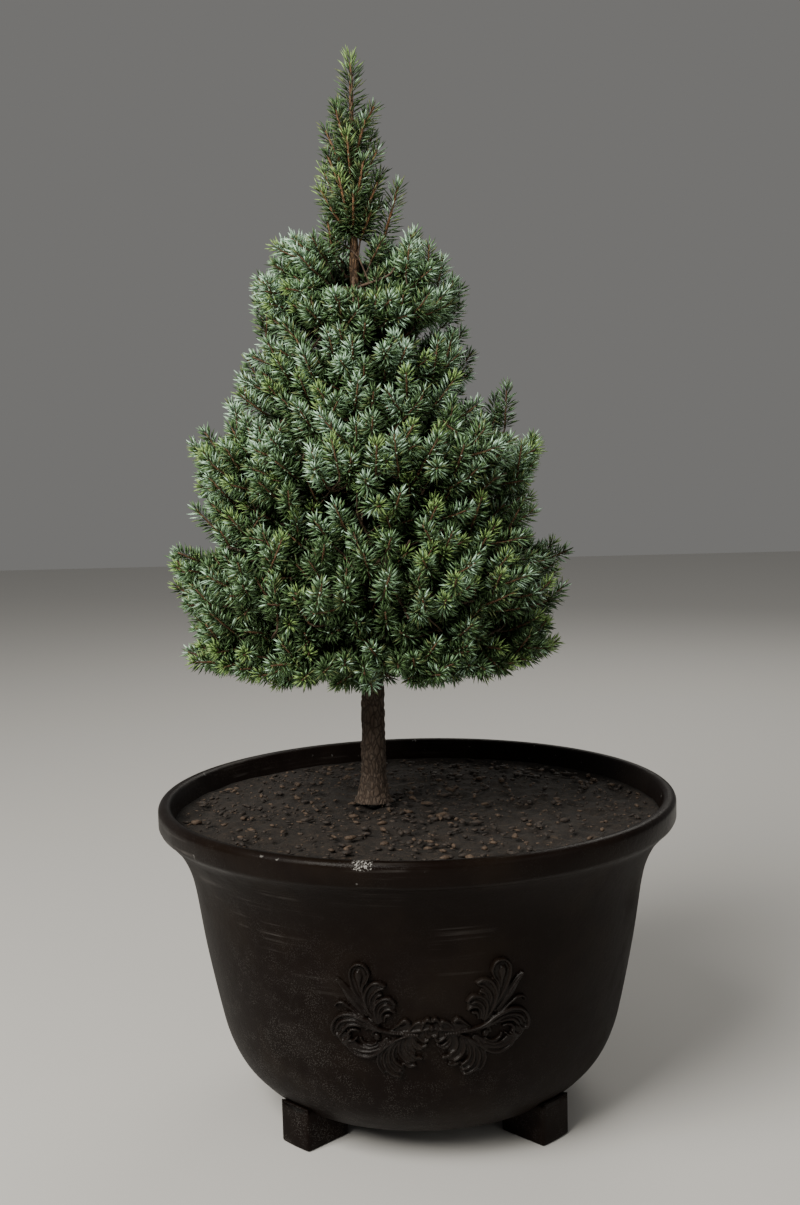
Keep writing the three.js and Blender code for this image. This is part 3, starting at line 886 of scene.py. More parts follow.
    def grow_leader_shoot(self, spray):
        """A needled shoot from the leader's stem to just inside a spray's tip, but none at its very top."""
        outward = from_trunk(spray.tip)
        start = self.leader_start(spray.tip, outward)
        inset = min(interpolate(LEADER_INSETS, spray.tip.z), outward.length)
        tip = spray.tip - outward.normalized() * inset
        if tip.z - start.z < LEADER_LEAST_RISE:
            return
        # Darker on the leader: partly its duller needles, partly painted shade
        level = self.pick_level(spray.tip, 0) - LEADER_SHADE_DROP
        fresh = self.draw.random() < FRESH_ON_LEADER
        if tip.z < LEADER_ALONE_FROM:
            self.add_straight(start, tip, MASSES[-1], LEADER_NEEDLES, level, fresh=fresh)

    def grow_tip(self):
        """The needles on the leader's own stem, up to the tree's tip."""
        root = trunk_centre(LEADER_STEM_NEEDLES_FROM)
        tip = trunk_centre(TRUNK_TIP)
        tip.z = TREE_TOP - TIP_CLEAR
        self.add_straight(root, tip, MASSES[-1], TIP_NEEDLES, OUTER_LEVEL - TIP_LEVEL_DROP, fresh=True)

    def grow_axis(self):
        """Short shoots straight from the trunk, dark as dead twigs in painted shade, so that no sky shows
        through the crown beside it.
        """
        for k in range(AXIS_COUNT):
            height = float(np.interp(k, (0, AXIS_COUNT - 1), AXIS_HEIGHTS))
            outward = towards(k * GOLDEN_ANGLE)
            tip = trunk_centre(height) + outward * self.draw.uniform(*AXIS_REACHES)
            root = trunk_centre(height - AXIS_RISE) + outward * trunk_radius(height) * START_IN_BARK
            if not left_open(tip):
                mass = nearest_mass(tip, MASSES[:-1])
                # Level 0 is the shade step: painted shade by the trunk
                self.add_straight(root, tip, mass, AXIS_NEEDLES, level=0, inner=True)

    def grow_standing_shoot(self, turn, low, high):
        """A shoot that stands by itself, and the twiglet to it from the nearest twig or from the trunk."""
        outward = towards(math.radians(turn))
        root, tip = [trunk_centre(height) + outward * reach for reach, height in (low, high)]
        starts = (self.nearest_twig(root), trunk_centre(root.z - LEADER_LEAST_RISE))
        start = min(starts, key=lambda spot: (spot - root).length)
        self.twiglets.append(bent_path(start, outward, root, (tip - root).normalized(), TWIGLET_STEPS))
        mass = nearest_mass(tip)
        needles = LEADER_NEEDLES if mass is MASSES[-1] else OUTER_NEEDLES
        self.add_straight(root, tip, mass, needles, STANDING_LEVEL)

    def cover_bare_foot(self):
        """Shoots just under the bare stretch of stem, which cover the twigs there from above."""
        near, far = COVER_REACHES
        for k in range(COVER_SHOOTS):
            aside_share = (k * GOLDEN_SHARE) % 1 - 0.5
            outward = towards(math.radians(BARE_AZIMUTH + aside_share * COVER_SPREAD * BARE_HALF_WIDTH))
            reach = near + (far - near) * math.sqrt((k + 0.5) / COVER_SHOOTS)
            tip = trunk_centre(BARE_HEIGHTS[0]) + outward * reach
            up = (outward * COVER_LEAN + Vector((0, 0, 1))).normalized()
            spray = Spray(tip, up, up, COVER_SHOOT_LENGTH, nearest_mass(tip))
            self.grow_shoot(spray, 1, SECOND_NEEDLES)


def column(shoots, field):
    """One field of every shoot, as an array."""
    return np.array([getattr(shoot, field) for shoot in shoots])


def unit(rows):
    """Every row of an array as a unit vector."""
    return rows / np.linalg.norm(rows, axis=1)[:, None]


def needle_counts(shoots, look):
    """How many needles each shoot bears."""
    density = np.array([shoot.needles[0] for shoot in shoots])
    counts = column(shoots, "length") * density * look.needles_per_metre
    return np.maximum(LEAST_NEEDLES, counts).astype(int)


def needle_rows(shoots, look, draw):
    """Base, direction, length, width and kind of every needle on a list of shoots."""
    counts = needle_counts(shoots, look)
    total = counts.sum()
    owner = np.repeat(np.arange(len(shoots)), counts)
    index = np.arange(total) - (np.cumsum(counts) - counts)[owner]
    along = (index + draw.uniform(*NEEDLE_PLACES, total)) / counts[owner]
    angle = index * GOLDEN_ANGLE + draw.uniform(-TURN_JITTER, TURN_JITTER, total)
    tilt = NEEDLE_TILT - TILT_LOSS * along - TILT_LOSS_AT_TIP * along ** 5
    tilt = np.radians(tilt + draw.normal(0, TILT_SPREAD, total))
    aheads = column(shoots, "ahead")[owner]
    axis = unit(aheads + np.array([0, 0, NEEDLE_AXIS_RISE]) * along[:, None])
    side, up = frames(axis)
    across = side * np.cos(angle)[:, None] + up * np.sin(angle)[:, None]
    direction = axis * np.cos(tilt)[:, None] + across * np.sin(tilt)[:, None]
    direction = unit(direction + np.array([0, 0, NEEDLE_RISE]))
    reach = column(shoots, "length")[owner] - look.needle_length * NEEDLE_OVERHANG
    base = shoot_points(column(shoots, "root")[owner], aheads, reach, along)
    sizes = np.array([shoot.needles[1:] for shoot in shoots])[owner]
    length = look.needle_length * sizes[:, 0] * draw.uniform(*NEEDLE_LENGTHS, total)
    length *= 1 - SHORTER_AT_TIP * along ** 3
    width = look.needle_width * sizes[:, 1] * draw.uniform(*NEEDLE_WIDTHS, total)
    return base, direction, length, width, needle_kinds(shoots, owner, along, draw)


def needle_kinds(shoots, owner, along, draw):
    """Each needle's step on the ladder of colours, with olive needles and fresh tips let in."""
    outer = ~column(shoots, "inner")[owner]
    leader = column(shoots, "on_leader")[owner]
    # Paler towards the tip for new growth, darker towards the foot for older needles and painted shade
    tip_rise = TIP_RISE - FOOT_DROP * (1 - along) ** FOOT_DROP_POWER
    levels = column(shoots, "level")[owner] + outer * tip_rise + draw.normal(0, NEEDLE_CONTRAST, len(owner))
    kinds = np.clip(np.rint(levels), outer * 1, LADDER_TOP).astype(int)
    olive = outer & (draw.random(len(owner)) < np.where(leader, OLIVE_ON_LEADER, OLIVE_SHARE))
    kinds = np.where(olive & (kinds > 1), KINDS.index("olive"), kinds)
    near_tip = along + draw.normal(0, FRESH_EDGE_SPREAD, len(owner)) > FRESH_FROM
    return np.where(outer & column(shoots, "fresh")[owner] & near_tip, KINDS.index("fresh"), kinds)


def shoot_points(roots, aheads, lengths, along):
    """Points along shoots that bend up a little: along runs from 0 at the root to 1 at the tip."""
    points = roots + aheads * (lengths * along)[:, None]
    points[:, 2] += SHOOT_RISE * lengths * along ** 2
    return points


def array_mesh(name, points, faces, kinds):
    """A mesh straight from arrays of points, of equal faces and of each face's material."""
    mesh = bpy.data.meshes.new(name)
    mesh.vertices.add(len(points))
    mesh.vertices.foreach_set("co", points.astype(np.float32).ravel())
    mesh.loops.add(faces.size)
    mesh.loops.foreach_set("vertex_index", faces.astype(np.int32).ravel())
    mesh.polygons.add(len(faces))
    mesh.polygons.foreach_set("loop_start", np.arange(len(faces), dtype=np.int32) * faces.shape[1])
    mesh.polygons.foreach_set("material_index", kinds.astype(np.int32))
    mesh.polygons.foreach_set("use_smooth", np.ones(len(faces), bool))
    mesh.update(calc_edges=True)
    return mesh


def frames(direction):
    """Two unit vectors square to each direction, which make a right-handed frame with it."""
    first = unit(np.cross(direction, FRAME_ASIDE))
    return first, np.cross(direction, first)


def needles_mesh(name, base, direction, length, width, kinds):
    """Slim, blunt needles, widest past their middle, each a closed shape of six faces."""
    first, second = frames(direction)
    ring = base + direction * (length * NEEDLE_BELLY)[:, None]
    points = [base]
    for k in range(3):
        turn = 2 * math.pi * k / 3
        points.append(ring + (first * math.cos(turn) + second * math.sin(turn)) * width[:, None] / 2)
    points.append(base + direction * length[:, None])
    points = np.stack(points, axis=1).reshape(-1, 3)
    pattern = np.array([[2, 1, 0], [3, 2, 0], [1, 3, 0], [1, 2, 4], [2, 3, 4], [3, 1, 4]])
    faces = (np.arange(len(base))[:, None, None] * 5 + pattern).reshape(-1, 3)
    return array_mesh(name, points, faces, np.repeat(kinds, len(pattern)))


def tubes_mesh(name, paths, radii, sides, kinds):
    """Tapering closed twigs along paths of one length: paths are (twig, step, 3), radii (twig, step)."""
    twigs, steps, _ = paths.shape
    first, second = frames(unit(np.gradient(paths, axis=1).reshape(-1, 3)))
    turns = 2 * math.pi * np.arange(sides) / sides
    around = first[:, None] * np.cos(turns)[None, :, None] + second[:, None] * np.sin(turns)[None, :, None]
    rings = paths.reshape(-1, 1, 3) + around * radii.reshape(-1, 1, 1)
    rings = rings.reshape(twigs, steps * sides, 3)
    points = np.concatenate([rings, paths[:, :1], paths[:, -1:]], axis=1)
    root, tip = steps * sides, steps * sides + 1
    pattern = []
    for k in range(sides):
        after = (k + 1) % sides
        pattern.append((root, after, k))
        pattern.append((tip, (steps - 1) * sides + k, (steps - 1) * sides + after))
        for step in range(steps - 1):
            low, high = step * sides, (step + 1) * sides
            pattern.append((low + k, low + after, high + after))
            pattern.append((low + k, high + after, high + k))
    faces = (np.arange(twigs)[:, None, None] * (steps * sides + 2) + np.array(pattern)).reshape(-1, 3)
    return array_mesh(name, points.reshape(-1, 3), faces, np.repeat(kinds, len(pattern)))


# The finishes
# Pale ground coat of the lip's chips, also the colour of the painted highlight on its front
PALE_COAT_AND_GLINT = (0.46, 0.45, 0.43)
BROWNED_PAINT = (0.016, 0.011, 0.007)
FIBRES = (0.105, 0.070, 0.042)
PALE_OLD_BARK = (0.20, 0.16, 0.125)
PALE_YOUNG_BARK = (0.42, 0.27, 0.15)
BARK_CRACKS = (0.022, 0.013, 0.008)

# The speckled finishes, each a dull colour and its paler specks
CRUMB_COLOURS = ((0.014, 0.010, 0.008), (0.045, 0.031, 0.022))
CHIP_COLOURS = ((0.048, 0.030, 0.019), (0.100, 0.066, 0.042))
OLD_WOOD = ((0.050, 0.031, 0.019), (0.110, 0.068, 0.041))
YOUNG_WOOD = ((0.080, 0.042, 0.021), (0.170, 0.088, 0.040))
LEADER_WOOD = ((0.110, 0.052, 0.022), (0.240, 0.118, 0.050))


def charcoal_finish(look, name="charcoal_planter", roughness=0.50, shine=0.070):
    """Worn satin charcoal: pale grit low on the left, painted sheen in level streaks high up on the left,
    and a chipped, shiny lip with a painted highlight at its front.
    """
    finish = Finish(name)
    cloud = finish.noise(9, 4, 0.6).step(0.50, 0.72)
    low_left = (finish.x * -3.0 + finish.z * -4.5 + 0.88).clamped()
    grit = finish.cells(720).step(0.46, 0.20) * finish.noise(60, 3, 0.6).step(0.40, 0.62)
    # Painted sheen: fine level streaks in the dust colour, high up on the lit upper left, stand for light
    # reflected along the bowl's mouldings
    sheen_streaks = finish.noise(1, 3, 0.6, 0.3, finish.stretched((7, 7, 290))).step(0.52, 0.74)
    sheen_streaks = sheen_streaks * finish.noise(14, 3).step(0.46, 0.66)
    lit_upper_left = finish.z.step(0.15, 0.21) * (finish.x * -5 + 0.6).clamped()
    # Dust clouds and pale grit, then the painted sheen streaks, as one mask for the dust colour
    dust_and_sheen_mask = cloud * 0.17 * (0.15 + low_left) + grit * (0.06 + 0.62 * low_left) + sheen_streaks * lit_upper_left * 0.80
    body = finish.mix(dust_and_sheen_mask.clamped(), tuple(look.charcoal), tuple(look.dust_and_sheen))
    browned = finish.mix(finish.noise(16, 3).step(0.45, 0.7) * 0.30, body, BROWNED_PAINT)
    chips = finish.noise(110, 3, 0.6).step(0.70, 0.73) * finish.z.step(0.270, 0.282)
    # Pale ground coat shows where the lip is chipped, and as a painted highlight on the front of its edge
    chips_and_glint = (chips * 0.25 + painted_lip_glint(finish) * 0.6).clamped()
    finish.set("Base Color", finish.mix(chips_and_glint, browned, PALE_COAT_AND_GLINT))
    lip = finish.z.step(0.262, 0.276)
    finish.set("Roughness", (roughness + 0.16 * cloud + 0.10 * grit - 0.22 * lip).clamped())
    grain = finish.noise(900, 2, 0.6) * 0.5 + finish.noise(160, 3, 0.6) * 0.9 + grit * 0.35
    finish.bump(grain, 0.0006, 0.5)
    finish.set("Specular IOR Level", shine)
    return finish


def painted_lip_glint(finish):
    """A painted highlight: a small pale patch on the front of the lip's edge, where the light glints."""
    front = finish.y.step(-0.15, -0.20) * finish.z.step(0.2855, 0.2890)
    patch = front * finish.x.step(-0.066, -0.050) * finish.x.step(-0.026, -0.042)
    return (finish.noise(620, 2, 0.5) * patch).step(0.49, 0.58)


def soil_finish(look):
    """Dark, crumbly potting mix with paler fibres."""
    finish = Finish("potting_mix", 0.95)
    coarse = finish.noise(90, 5, 0.65)
    fibre = finish.noise(1, 3, 0.6, 0.8, finish.stretched((120, 500, 300))).step(0.58, 0.70)
    dark = finish.mix(coarse.step(0.35, 0.65), tuple(0.45 * v for v in look.soil), tuple(look.soil))
    finish.set("Base Color", finish.mix(fibre * 0.5, dark, FIBRES))
    finish.bump(coarse + finish.noise(420, 3, 0.7) * 0.6, 0.003, 0.8)
    return finish


def bark_finish(look):
    """Grey-brown flaking bark that turns orange-brown towards the top of the tree."""
    finish = Finish("spruce_bark", 0.85)
    young = finish.z.step(0.70, 0.80)
    plates = finish.cells(1, "DISTANCE_TO_EDGE", finish.stretched((260, 260, 110)))
    crack = plates.step(0.16, 0.02)
    tone = finish.noise(180, 4, 0.6)
    base = finish.mix(young, tuple(look.old_bark), tuple(look.young_bark))
    pale = finish.mix(young, PALE_OLD_BARK, PALE_YOUNG_BARK)
    flaked = finish.mix(tone.step(0.45, 0.72) * 0.55, base, pale)
    finish.set("Base Color", finish.mix(crack * 0.75, flaked, BARK_CRACKS))
    finish.bump(plates.step(0, 0.25) + tone * 0.4, 0.0012, 0.7)
    return finish


def speckled_finish(name, colour, pale):
    """A dull colour with paler specks, for twigs, crumbs and chips."""
    finish = Finish(name, 0.75)
    tone = finish.noise(420, 3, 0.6)
    finish.set("Base Color", finish.mix(tone.step(0.38, 0.66), colour, pale))
    finish.bump(tone, 0.0005, 0.6)
    return finish


# The needles' plain colours: a ladder from shade to pale, then the olive needles and the fresh tips
NEEDLE_COLOURS = {
    "shade": (0.006, 0.014, 0.002),
    "deep": (0.034, 0.068, 0.020),
    "green": (0.094, 0.176, 0.064),
    "grey": (0.212, 0.350, 0.202),
    "pale": (0.478, 0.700, 0.530),
    "olive": (0.150, 0.190, 0.070),
    "fresh": (0.240, 0.375, 0.120),
}
KINDS = list(NEEDLE_COLOURS)

# How the steps of the ladder are dealt out, by shoot and by needle, with painted shade deep in the crown,
# low down and at the foot of each shoot
LADDER_TOP = KINDS.index("pale")
OUTER_LEVEL = 2.52
# Painted shade: how many steps darker the second layer is, also for its older needles
SECOND_LAYER_SHADE = 0.95
# Painted shade: the fixed steps of the inner layers
INNER_SHADE_LEVELS = (0.45, 0, 0)
PATCH_SCALE = 14
PATCH_CONTRAST = 0.9
SHOOT_CONTRAST = 0.42
NEEDLE_CONTRAST = 0.85
# Painted shade and light: steps darker below the middle height and paler above it
MIDDLE_HEIGHT = 0.60
PAINTED_SHADE_BY_HEIGHT = 3.8
OLIVE_SHARE = 0.10
OLIVE_ON_LEADER = 0.30
# Paler at a shoot's tip for fresh growth; darker at its foot for older needles and painted shade
TIP_RISE = 0.3
FOOT_DROP = 1.5
FOOT_DROP_POWER = 1.5

# Which shoots have fresh tips, and from where along a shoot they are fresh
FRESH_SCALE = 11
FRESH_SHIFT = Vector((3, 5, 7))
FRESH_SPREAD = 0.25
FRESH_LIMIT = 0.24
FRESH_ON_LEADER = 0.3
FRESH_FROM = 0.80
FRESH_EDGE_SPREAD = 0.08


def needle_finish(kind, colour):
    """Waxy needles: a plain colour with a little noise in its lightness."""
    finish = Finish(f"needles_{kind}", 0.52)
    tone = finish.noise(260, 2, 0.5)
    dark = tuple(0.72 * v for v in colour)
    light = tuple(min(1, 1.30 * v) for v in colour)
    finish.set("Base Color", finish.mix(tone.step(0.35, 0.65), dark, light))
    finish.set("Specular IOR Level", 0.35)
    return finish


class SPRUCE_OT_bowl(Operator):
    """Turn the planter's bowl with its flared, rolled lip"""

    bl_idname = "spruce.bowl"
    bl_label = "Planter bowl"

    def execute(self, context):
        outer = [tuple(row) for row in BOWL_LINE]
        floor = BOWL_BOTTOM + FLOOR_THICKNESS
        inner = [(radius - WALL, z) for radius, z in outer[::-3] if z > floor + INNER_WALL_FROM]
        profile = [(radius, BOWL_BOTTOM) for radius in BOTTOM_RADII] + outer
        profile += [self.lip_point(back, LIP_DEPTH + down) for back, down in LIP_UNDERSIDE]
        profile += arc(self.lip_point(LIP_ROUND, LIP_ROUND), LIP_ROUND, 0, 90, LIP_ROUND_STEPS)
        profile += [self.lip_point(back, down) for back, down in LIP_INSIDE]
        profile += inner + [(radius, floor) for radius in FLOOR_RADII]
        mesh = closed_mesh(turned(profile, BOWL_TURNS), "bowl")
        finish = charcoal_finish(context.scene.planter_look)
        place_piece("bowl", mesh, [finish], ["planter_bowl"])
        return {"FINISHED"}

    def lip_point(self, back, down):
        """A place on the lip's profile, in from its reach and down from its top."""
        return LIP_RADIUS - back, PLANTER_HEIGHT - down


class SPRUCE_OT_feet(Operator):
    """Set four block feet under the bowl"""

    bl_idname = "spruce.feet"
    bl_label = "Planter feet"

    def execute(self, context):
        finish = charcoal_finish(context.scene.planter_look)
        for k in range(FOOT_COUNT):
            angle = math.radians(FOOT_TURN + 360 / FOOT_COUNT * k)
            name = f"planter_foot_{k + 1}"
            place_piece(name, closed_mesh(self.block(angle), name), [finish], [f"foot_{k + 1}"])
        return {"FINISHED"}

    def block(self, angle):
        """A block with rounded edges and a curved outer face, cut off along the bowl's underside."""
        work = bmesh.new()
        bmesh.ops.create_cube(work, size=1)
        depth = FOOT_OUTER - FOOT_INNER
        middle = (FOOT_OUTER + FOOT_INNER) / 2
        bmesh.ops.scale(work, vec=(depth, FOOT_WIDTH, FOOT_TOP), verts=work.verts)
        bmesh.ops.translate(work, vec=(middle, 0, FOOT_TOP / 2), verts=work.verts)
        bmesh.ops.subdivide_edges(work, edges=work.edges, cuts=FOOT_CUTS, use_grid_fill=True)
        for vert in work.verts:
            share = (vert.co.x - FOOT_INNER) / depth
            vert.co.x -= share * (FOOT_OUTER - math.sqrt(FOOT_OUTER ** 2 - vert.co.y ** 2))
        slope = Vector((-(FOOT_TOP - BOWL_BOTTOM), 0, depth)).normalized()
        bmesh.ops.bisect_plane(
            work, geom=work.verts[:] + work.edges[:] + work.faces[:],
            plane_co=(FOOT_OUTER, 0, FOOT_TOP - FOOT_SLOPE_DROP), plane_no=slope, clear_outer=True)
        bmesh.ops.holes_fill(work, edges=[edge for edge in work.edges if edge.is_boundary])
        inside = [edge for edge in work.edges if len(edge.link_faces) == 2]
        sharp = [edge for edge in inside if edge.calc_face_angle() > SHARP_ANGLE]
        bmesh.ops.bevel(
            work, geom=sharp, offset=FOOT_ROUND, offset_type="OFFSET", segments=3, profile=0.5,
            affect="EDGES", material=-1)
        bmesh.ops.rotate(work, cent=(0, 0, 0), matrix=Matrix.Rotation(angle, 3, "Z"), verts=work.verts)
        return work


# Half of the relief in millimetres, across from its middle and up. Each carved stroke is the points of its
# spine, its half width at the root, the middle and the head, and its height as a share of the whole.
RELIEF_STROKES = [
    # The low bodies of the leaves
    ([(55, 4), (70, 7), (79, 3), (80, -5), (74, -12), (66, -17), (56, -19), (46, -16), (38, -10)],
     4.0, 5.6, 4.5, 0.42),
    ([(30, -10), (37, -20), (37, -29), (30, -35)], 4.0, 8.5, 8.0, 0.36),
    ([(19, -7), (21, -16), (18, -25)], 4.0, 7.0, 6.0, 0.34),
    ([(48, 8), (56, 20), (61, 34), (61, 46)], 3.0, 4.5, 8.5, 0.32),
    ([(46, 8), (45, 17), (39, 22), (34, 20)], 4.0, 5.5, 4.5, 0.34),
    ([(50, 12), (52, 26), (45, 36)], 2.5, 4.6, 4.5, 0.30),
    ([(58, 12), (66, 23), (74, 34), (80, 40)], 2.0, 5.0, 3.0, 0.55),
    ([(30, 0), (20, 2), (10, 2), (0, 1)], 2.0, 3.6, 4.5, 0.26),
    ([(16, -6), (8, -6), (0, -3)], 3.0, 3.6, 3.0, 0.22),
    # The long stem that sweeps out and curls over
    ([(12, -4), (34, -2), (45, 1), (55, 7), (63, 10), (71, 12), (79, 10), (84, 5), (86, -2), (84, -7)],
     1.6, 1.8, 2.0, 1.00),
    ([(46, 0), (57, 4), (65, 7), (73, 6.5), (79, 4), (82, -1)], 0.9, 1.4, 1.9, 0.92),
    ([(60, 2), (66, 3), (72, 2), (76, -2)], 0.9, 1.7, 2.2, 0.90),
    ([(62, -2), (67, -1), (71, -3), (72, -7)], 0.9, 1.5, 1.9, 0.82),
    ([(84, -7), (80, -7), (77, -4)], 1.6, 1.6, 1.4, 0.90),
    ([(80, -9), (77, -12), (73, -10), (70, -7)], 1.6, 1.7, 1.3, 0.88),
    ([(75, -15), (72, -12), (68, -11), (64, -8)], 1.7, 1.6, 1.2, 0.84),
    # The lower side of the scroll
    ([(73, -14), (70, -19), (63, -23), (55, -24), (48, -21), (41, -16), (35, -11), (28, -7), (20, -4)],
     1.5, 1.7, 1.0, 1.00),
    ([(71, -16), (67, -18), (59, -20), (51, -19), (44, -16), (40, -12)], 1.2, 1.5, 1.0, 0.86),
    ([(66, -12), (61, -15.5), (53, -16.5), (46, -14)], 1.1, 1.4, 1.0, 0.78),
    ([(61, -8), (58, -12), (52, -13.5), (47, -11)], 1.0, 1.4, 1.2, 0.74),
    # The small ball inside the scroll, with its arch
    ([(47, -5.5), (46, -6.5)], 3.0, 3.2, 3.2, 0.80),
    ([(51, -6), (50.5, -2.5), (47, -0.5), (43, -2)], 0.8, 1.2, 1.0, 0.70),
    ([(57, -1), (54, 1), (50, 0)], 0.8, 1.2, 1.0, 0.62),
    # The lower leaf, curling in
    ([(40, -15), (44.5, -20), (46.5, -27), (44.5, -33), (41.5, -37)], 0.8, 1.3, 1.6, 0.66),
    ([(33, -11), (40, -20), (41, -27), (38.5, -34), (33, -38.5), (27, -40)], 0.9, 1.5, 1.7, 0.86),
    ([(31, -10), (35.5, -17), (36.5, -24), (35, -30), (31, -34.5), (26, -35.5)], 0.9, 1.4, 1.6, 0.90),
    ([(28, -9), (32, -16), (33, -21), (31, -27), (25, -31.5)], 0.9, 1.4, 1.6, 0.86),
    ([(26, -8), (28, -14), (27.5, -19), (24, -24), (19, -27)], 0.9, 1.4, 1.7, 0.84),
    ([(21, -7), (22, -13), (20, -18), (15, -21)], 0.9, 1.4, 1.8, 0.78),
    ([(16, -6), (16, -11), (13, -15), (9, -16)], 0.9, 1.4, 1.6, 0.70),
    ([(24, -29), (19, -31), (14, -30)], 1.2, 1.8, 1.6, 0.72),
    # The upper leaf: its thin side frond, its blade, the looped top and its ball
    ([(50, 7), (61, 11), (69, 17), (75, 21), (80.5, 21), (83, 18)], 0.8, 1.2, 1.4, 0.72),
    ([(55, 12), (63, 20), (69, 28), (74, 34), (81, 41)], 0.8, 1.5, 0.9, 0.90),
    ([(47, 6), (57, 20), (65, 32.5), (68.5, 43), (67.5, 51), (62, 55), (55.5, 53.5), (52, 47), (54.5, 40)],
     1.0, 1.6, 1.4, 1.00),
    ([(47, 7), (54, 18), (58, 28), (57.5, 36), (54, 41)], 0.8, 1.3, 1.2, 0.85),
    ([(60, 32), (61, 40), (61.5, 47)], 1.0, 2.2, 4.2, 0.80),
    # The frond that leans in, with its lobes
    ([(47, 7), (53, 15), (56, 25), (55, 32), (51, 38), (45, 40), (39, 38)], 0.9, 1.5, 2.0, 0.92),
    ([(50, 17), (52, 23), (50, 29), (45, 34), (40, 36)], 0.8, 1.3, 1.6, 0.76),
    ([(49, 22), (46, 28), (42, 30)], 0.9, 1.6, 1.8, 0.62),
    # The scroll beside it
    ([(45, 5), (47.5, 12), (48, 18.5), (45, 24), (39, 27), (34, 26.5), (30.5, 23)], 1.0, 1.5, 1.9, 0.94),
    ([(43.5, 6), (45, 12), (44, 18), (39, 22), (34, 21)], 0.9, 1.3, 1.5, 0.84),
    ([(42, 7), (42.5, 13), (39.5, 17), (34.5, 18), (31, 16)], 0.9, 1.4, 1.7, 0.80),
    ([(40, 7), (39, 12), (35, 13)], 1.0, 1.7, 2.0, 0.68),
    # The knot in the middle
    ([(33, 1), (28, 5), (23, 8.5), (19, 7)], 0.9, 1.7, 2.2, 0.80),
    ([(19, 0), (15, 5), (10, 7), (7, 5)], 0.9, 1.5, 2.0, 0.76),
    ([(9, 0), (7, 6), (3.5, 9.5), (1, 8)], 0.9, 1.5, 1.9, 0.84),
    ([(24, -1), (17, -1), (9, 0), (3, 1)], 1.2, 1.6, 1.4, 0.70),
    ([(0, 0.5), (0, 3)], 2.0, 2.6, 2.2, 0.88),
    ([(5, -1.5), (4, -5), (1.2, -5.5)], 0.9, 1.5, 1.6, 0.74),
    ([(14, -4), (10, -7.5), (6, -9.5), (3, -8)], 0.9, 1.4, 1.7, 0.74),
    ([(16, -6), (13, -11), (8, -14), (4.5, -12.5)], 0.9, 1.4, 1.7, 0.68),
    ([(20, -19), (15, -23), (9, -24)], 1.2, 1.7, 1.8, 0.72),
]

# The grid that the relief is carved from, its finish, and how it is laid on the bowl and rounded
RELIEF_HALF_WIDTH = 0.096
RELIEF_HALF_HEIGHT = 0.061
RELIEF_CELL = 0.00068
RELIEF_STRETCH = 1.08
RELIEF_SQUEEZE = 0.975
RELIEF_ROUGHNESS = 0.38
RELIEF_SHINE = 0.16
RELIEF_SINK = 0.0006
RELIEF_THICKNESS = 0.0015
RELIEF_SMOOTHING = 0.5

# How each stroke is shaped: the steps in a stretch of its spine, where along it its head is, how wide it is
# at its end as a share of its head, and how high at its root as a share of its end
STROKE_STEPS = 10
STROKE_HEAD = 0.86
STROKE_END_WIDTH = 0.8
STROKE_ROOT_HEIGHT = 0.75


def stroke_heights(across, up, stroke):
    """Height of one carved stroke over points in millimetres: a rounded lobe that rises to its head."""
    spine, root, middle, head, share = stroke
    line = smooth_line(spine, STROKE_STEPS)
    along = np.concatenate([[0], np.cumsum(np.linalg.norm(np.diff(line, axis=0), axis=1))])
    along /= along[-1]
    half = np.interp(along, [0, 0.5, STROKE_HEAD, 1], [root, middle, head, head * STROKE_END_WIDTH])
    near = np.full(across.shape, np.inf)
    best = np.zeros(across.shape)
    for (x, y), t, wide in zip(line, along, half):
        ratio = np.hypot(across - x, up - y) / wide
        closer = ratio < near
        near[closer] = ratio[closer]
        best[closer] = t
    dome = np.sqrt(np.clip(1 - near ** 2, 0, 1))
    return share * dome * (STROKE_ROOT_HEIGHT + (1 - STROKE_ROOT_HEIGHT) * best)


def relief_heights(across, up):
    """Height of the whole relief, mirrored about its middle, as shares of the highest."""
    height = np.zeros(across.shape)
    for stroke in RELIEF_STROKES:
        height = np.maximum(height, stroke_heights(np.abs(across), up, stroke))
    return height


